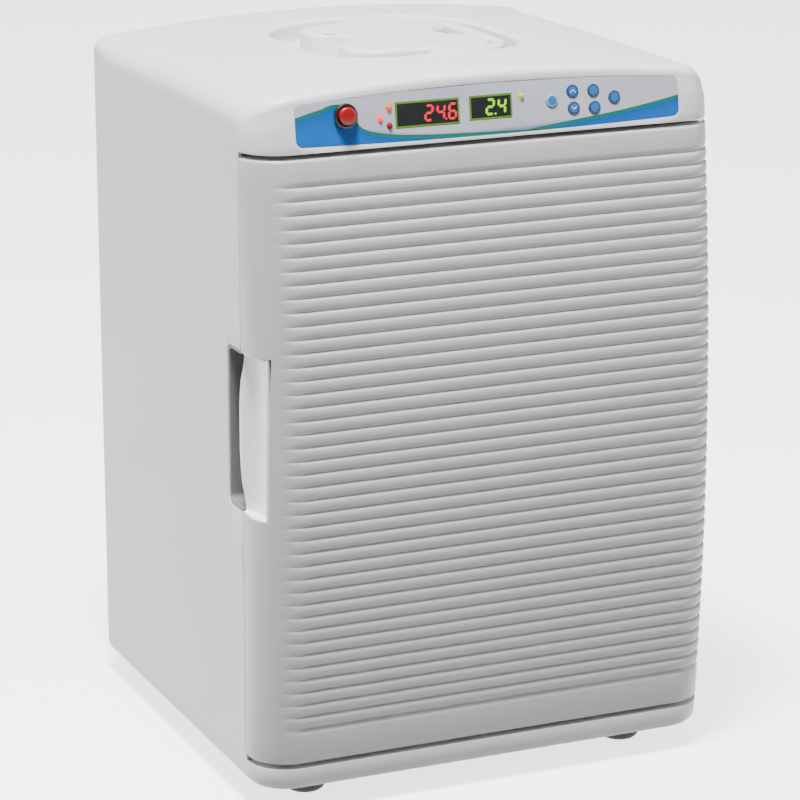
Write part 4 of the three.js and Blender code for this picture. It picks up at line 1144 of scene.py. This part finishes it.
key_rim = key_film("blue_key_film", "#16457a", "#e8eef6")
key_face = key_film("light_blue_key_film", "#336ca2", "#eef2f8")
pale_rim = key_film("pale_key_film", "#7fa6cc", "#eef2f8")
KEY_SYMBOLS = {"key_up": 1, "key_down": -1}
KEY_STEM = 0.0018
KEY_DEPTH = 0.0052
KEY_SEAT = 0.0014
KEY_EDGE = 0.0006
KEY_TOP = 0.0008
KEY_PRINT = 0.00082
PRINT_THICK = 0.0001
white_print = moulded("white_screen_print", "#e8f0f8", 0.4, 0.001, 0.000002)


def chevron(spot, way):
    """A thin arrow head printed on a key's face."""
    arm = 0.0018
    foot, tip, thick = -arm * 0.4, arm * 0.6, 0.0006
    outline = [(-arm, foot), (0, tip), (arm, foot), (arm, foot - thick), (0, tip - thick), (-arm, foot - thick)]
    points = [spot @ Vector((x, y * way, KEY_PRINT)) for x, y in outline]
    return prism(points, spot.to_3x3() @ Vector((0, 0, PRINT_THICK)))


for node in ("key_select", "key_up", "key_down", "key_program", "key_light", "key_start"):
    spot, radius = fascia_spot(node)
    key_profile = [(0, -KEY_DEPTH), (KEY_STEM, -KEY_DEPTH), (KEY_STEM, -KEY_SEAT), (radius, -KEY_SEAT),
                   *arc_points(radius - KEY_EDGE, 0.0001, KEY_EDGE, 0, pi / 2, 4),
                   (radius - 0.0013, 0.00075), (0, KEY_TOP)]
    pale = node == "key_select"
    key = finished(node + "_cap", turned(key_profile, spot, 36), node, pale_rim if pale else key_rim,
                   (node,))
    key.data.materials.append(key_face)
    for face in key.data.polygons:
        local = spot.inverted() @ face.center
        if hypot(local.x, local.y) < radius - 0.0012 and local.z > 0.0005:
            face.material_index = 1
    if node in KEY_SYMBOLS:
        finished(node + "_arrow", chevron(spot, KEY_SYMBOLS[node]), node, white_print, smooth=False)

# ---- Working parts and the inside ----
# Bought-in and pressed pieces that the door, the rear vent and the tray show: each has the surface of what it
# is made of, from stainless rod to moulded foam.

METAL_GRAIN = 400

def metal(name, colour, roughness, squeeze=(1, 1, 1)):
    """Bare or plated metal. Its fine grain may be squeezed along an axis, so that its lines run across it."""
    material, shader = new_material(name, Metallic=1.0, Base_Color=linear(colour))
    squeezed = add_node(material, "ShaderNodeMapping", {"Vector": object_place(material), "Scale": squeeze})
    grain = add_node(material, "ShaderNodeTexNoise", {
        "Vector": squeezed.outputs["Vector"], "Scale": METAL_GRAIN, "Detail": 4.0})
    polish = add_node(material, "ShaderNodeMapRange", {
        "Value": grain.outputs["Fac"], "To Min": roughness * 0.8, "To Max": roughness * 1.25})
    material.node_tree.links.new(polish.outputs["Result"], shader.inputs["Roughness"])
    return material


liner_plastic = moulded("thermoformed_white_styrene", "#ececea", 0.3, 0.002, 0.00001, tint="#fbfbfb")
foam = moulded("yellow_polyurethane_foam", "#dccf9c", 0.85, 0.003, 0.0003, tint="#e6dcc0")
gasket_rubber = moulded("grey_magnetic_gasket", "#8f9194", 0.6, 0.0008, 0.00002, tint="#ececec")
powder_coat = moulded("grey_powder_coat", "#c9cac8", 0.5, 0.0006, 0.00003, tint="#f2f2f2")
fibre_board = moulded("green_fibre_board", "#1d6a3b", 0.45, 0.0015, 0.00001, tint="#c8e0cc")
alumina = moulded("white_alumina", "#f0f0ec", 0.5, 0.0008, 0.00001)
polished_rod = metal("polished_stainless_rod", "#c9ccd0", 0.2, squeeze=(1, 1, 8))
plated_steel = metal("zinc_plated_steel", "#b9bcbf", 0.34)
extruded_aluminium = metal("extruded_aluminium", "#c2c5ca", 0.38, squeeze=(1, 8, 1))

finish_node(["front_frame"], cabinet_abs)
finish_node(["chamber_liner", "door_inner_liner", "chamber_fan_cover", "shelf_rack_left",
             "shelf_rack_right"], liner_plastic)
finish_node(["cabinet_insulation", "door_insulation"], foam)
finish_node(["door_gasket"], gasket_rubber)
finish_node(["rear_panel", "power_supply"], powder_coat)
finish_node(["display_board", "control_board"], fibre_board)
finish_node(["peltier_module"], alumina)
finish_node(["shelf_lower", "shelf_upper", "temperature_probe"], polished_rod)
finish_node(["handle_pin_front", "handle_pin_rear", "hinge_pin_upper", "hinge_pin_lower",
             "hinge_bracket_upper", "hinge_bracket_lower", *(f"rear_screw_{i}" for i in range(1, 5))],
            plated_steel)
finish_node(["cold_side_heatsink", "hot_side_heatsink"], extruded_aluminium)
finish_node(["chamber_fan_frame", "chamber_fan_rotor", "exhaust_fan_frame", "exhaust_fan_rotor",
             "power_inlet"], black_plastic)

# ---- Fan guard ----
# Welded wire at the rear: three rings on a cross of spokes round a small plate, polished and bright.

guard_low, guard_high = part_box("fan_guard")
GUARD_WIRE = 0.0011
GUARD_RINGS = (0.022, 0.033, 0.044)
GUARD_LUG = 0.0028
GUARD_PLATE = 0.008
guard_middle = (guard_low + guard_high) / 2
guard_reach = (guard_high.x - guard_low.x) / 2


def wire_ring(bm, centre, radius, wire, steps=64):
    """A ring of round wire that lies across Y."""
    rows = []
    for i in range(steps):
        turn = 2 * pi * i / steps
        way = Vector((cos(turn), 0, sin(turn)))
        rows.append([bm.verts.new(centre + way * (radius + wire * cos(a)) + Vector((0, wire * sin(a), 0)))
                     for a in (j * pi / 4 for j in range(8))])
    for row, ahead in zip(rows, rows[1:] + rows[:1]):
        for j in range(8):
            bm.faces.new((row[j], row[j - 1], ahead[j - 1], ahead[j]))


def rod_between(bm, start, end, radius):
    """A round rod from one point to another."""
    way = end - start
    place = Matrix.Translation((start + end) / 2) @ way.to_track_quat("Z", "Y").to_matrix().to_4x4()
    bmesh.ops.create_cone(bm, cap_ends=True, segments=12, radius1=radius, radius2=radius,
                          depth=way.length, matrix=place)


guard_bm = bmesh.new()
for ring_radius in GUARD_RINGS:
    wire_ring(guard_bm, guard_middle - Vector((0, 0.0004, 0)), ring_radius, GUARD_WIRE)
for quarter in range(4):
    turn = pi / 4 + quarter * pi / 2
    way = Vector((cos(turn), 0, sin(turn)))
    behind = Vector((0, 0.0012, 0))
    far = min(guard_reach / abs(cos(turn)), GUARD_RINGS[-1] + 0.006)
    rod_between(guard_bm, guard_middle + way * 0.004 + behind, guard_middle + way * far + behind, GUARD_WIRE)
    lug = guard_middle + way * far
    rod_between(guard_bm, Vector((lug.x, guard_low.y, lug.z)), Vector((lug.x, guard_high.y, lug.z)), GUARD_LUG)
rod_between(guard_bm, Vector((guard_middle.x, guard_middle.y - 0.0006, guard_middle.z)),
            Vector((guard_middle.x, guard_middle.y + 0.0012, guard_middle.z)), GUARD_PLATE)
bmesh.ops.recalc_face_normals(guard_bm, faces=guard_bm.faces)
finished("fan_guard_wires", guard_bm, "cabinet", polished_rod, ("fan_guard",), sharp=radians(50))
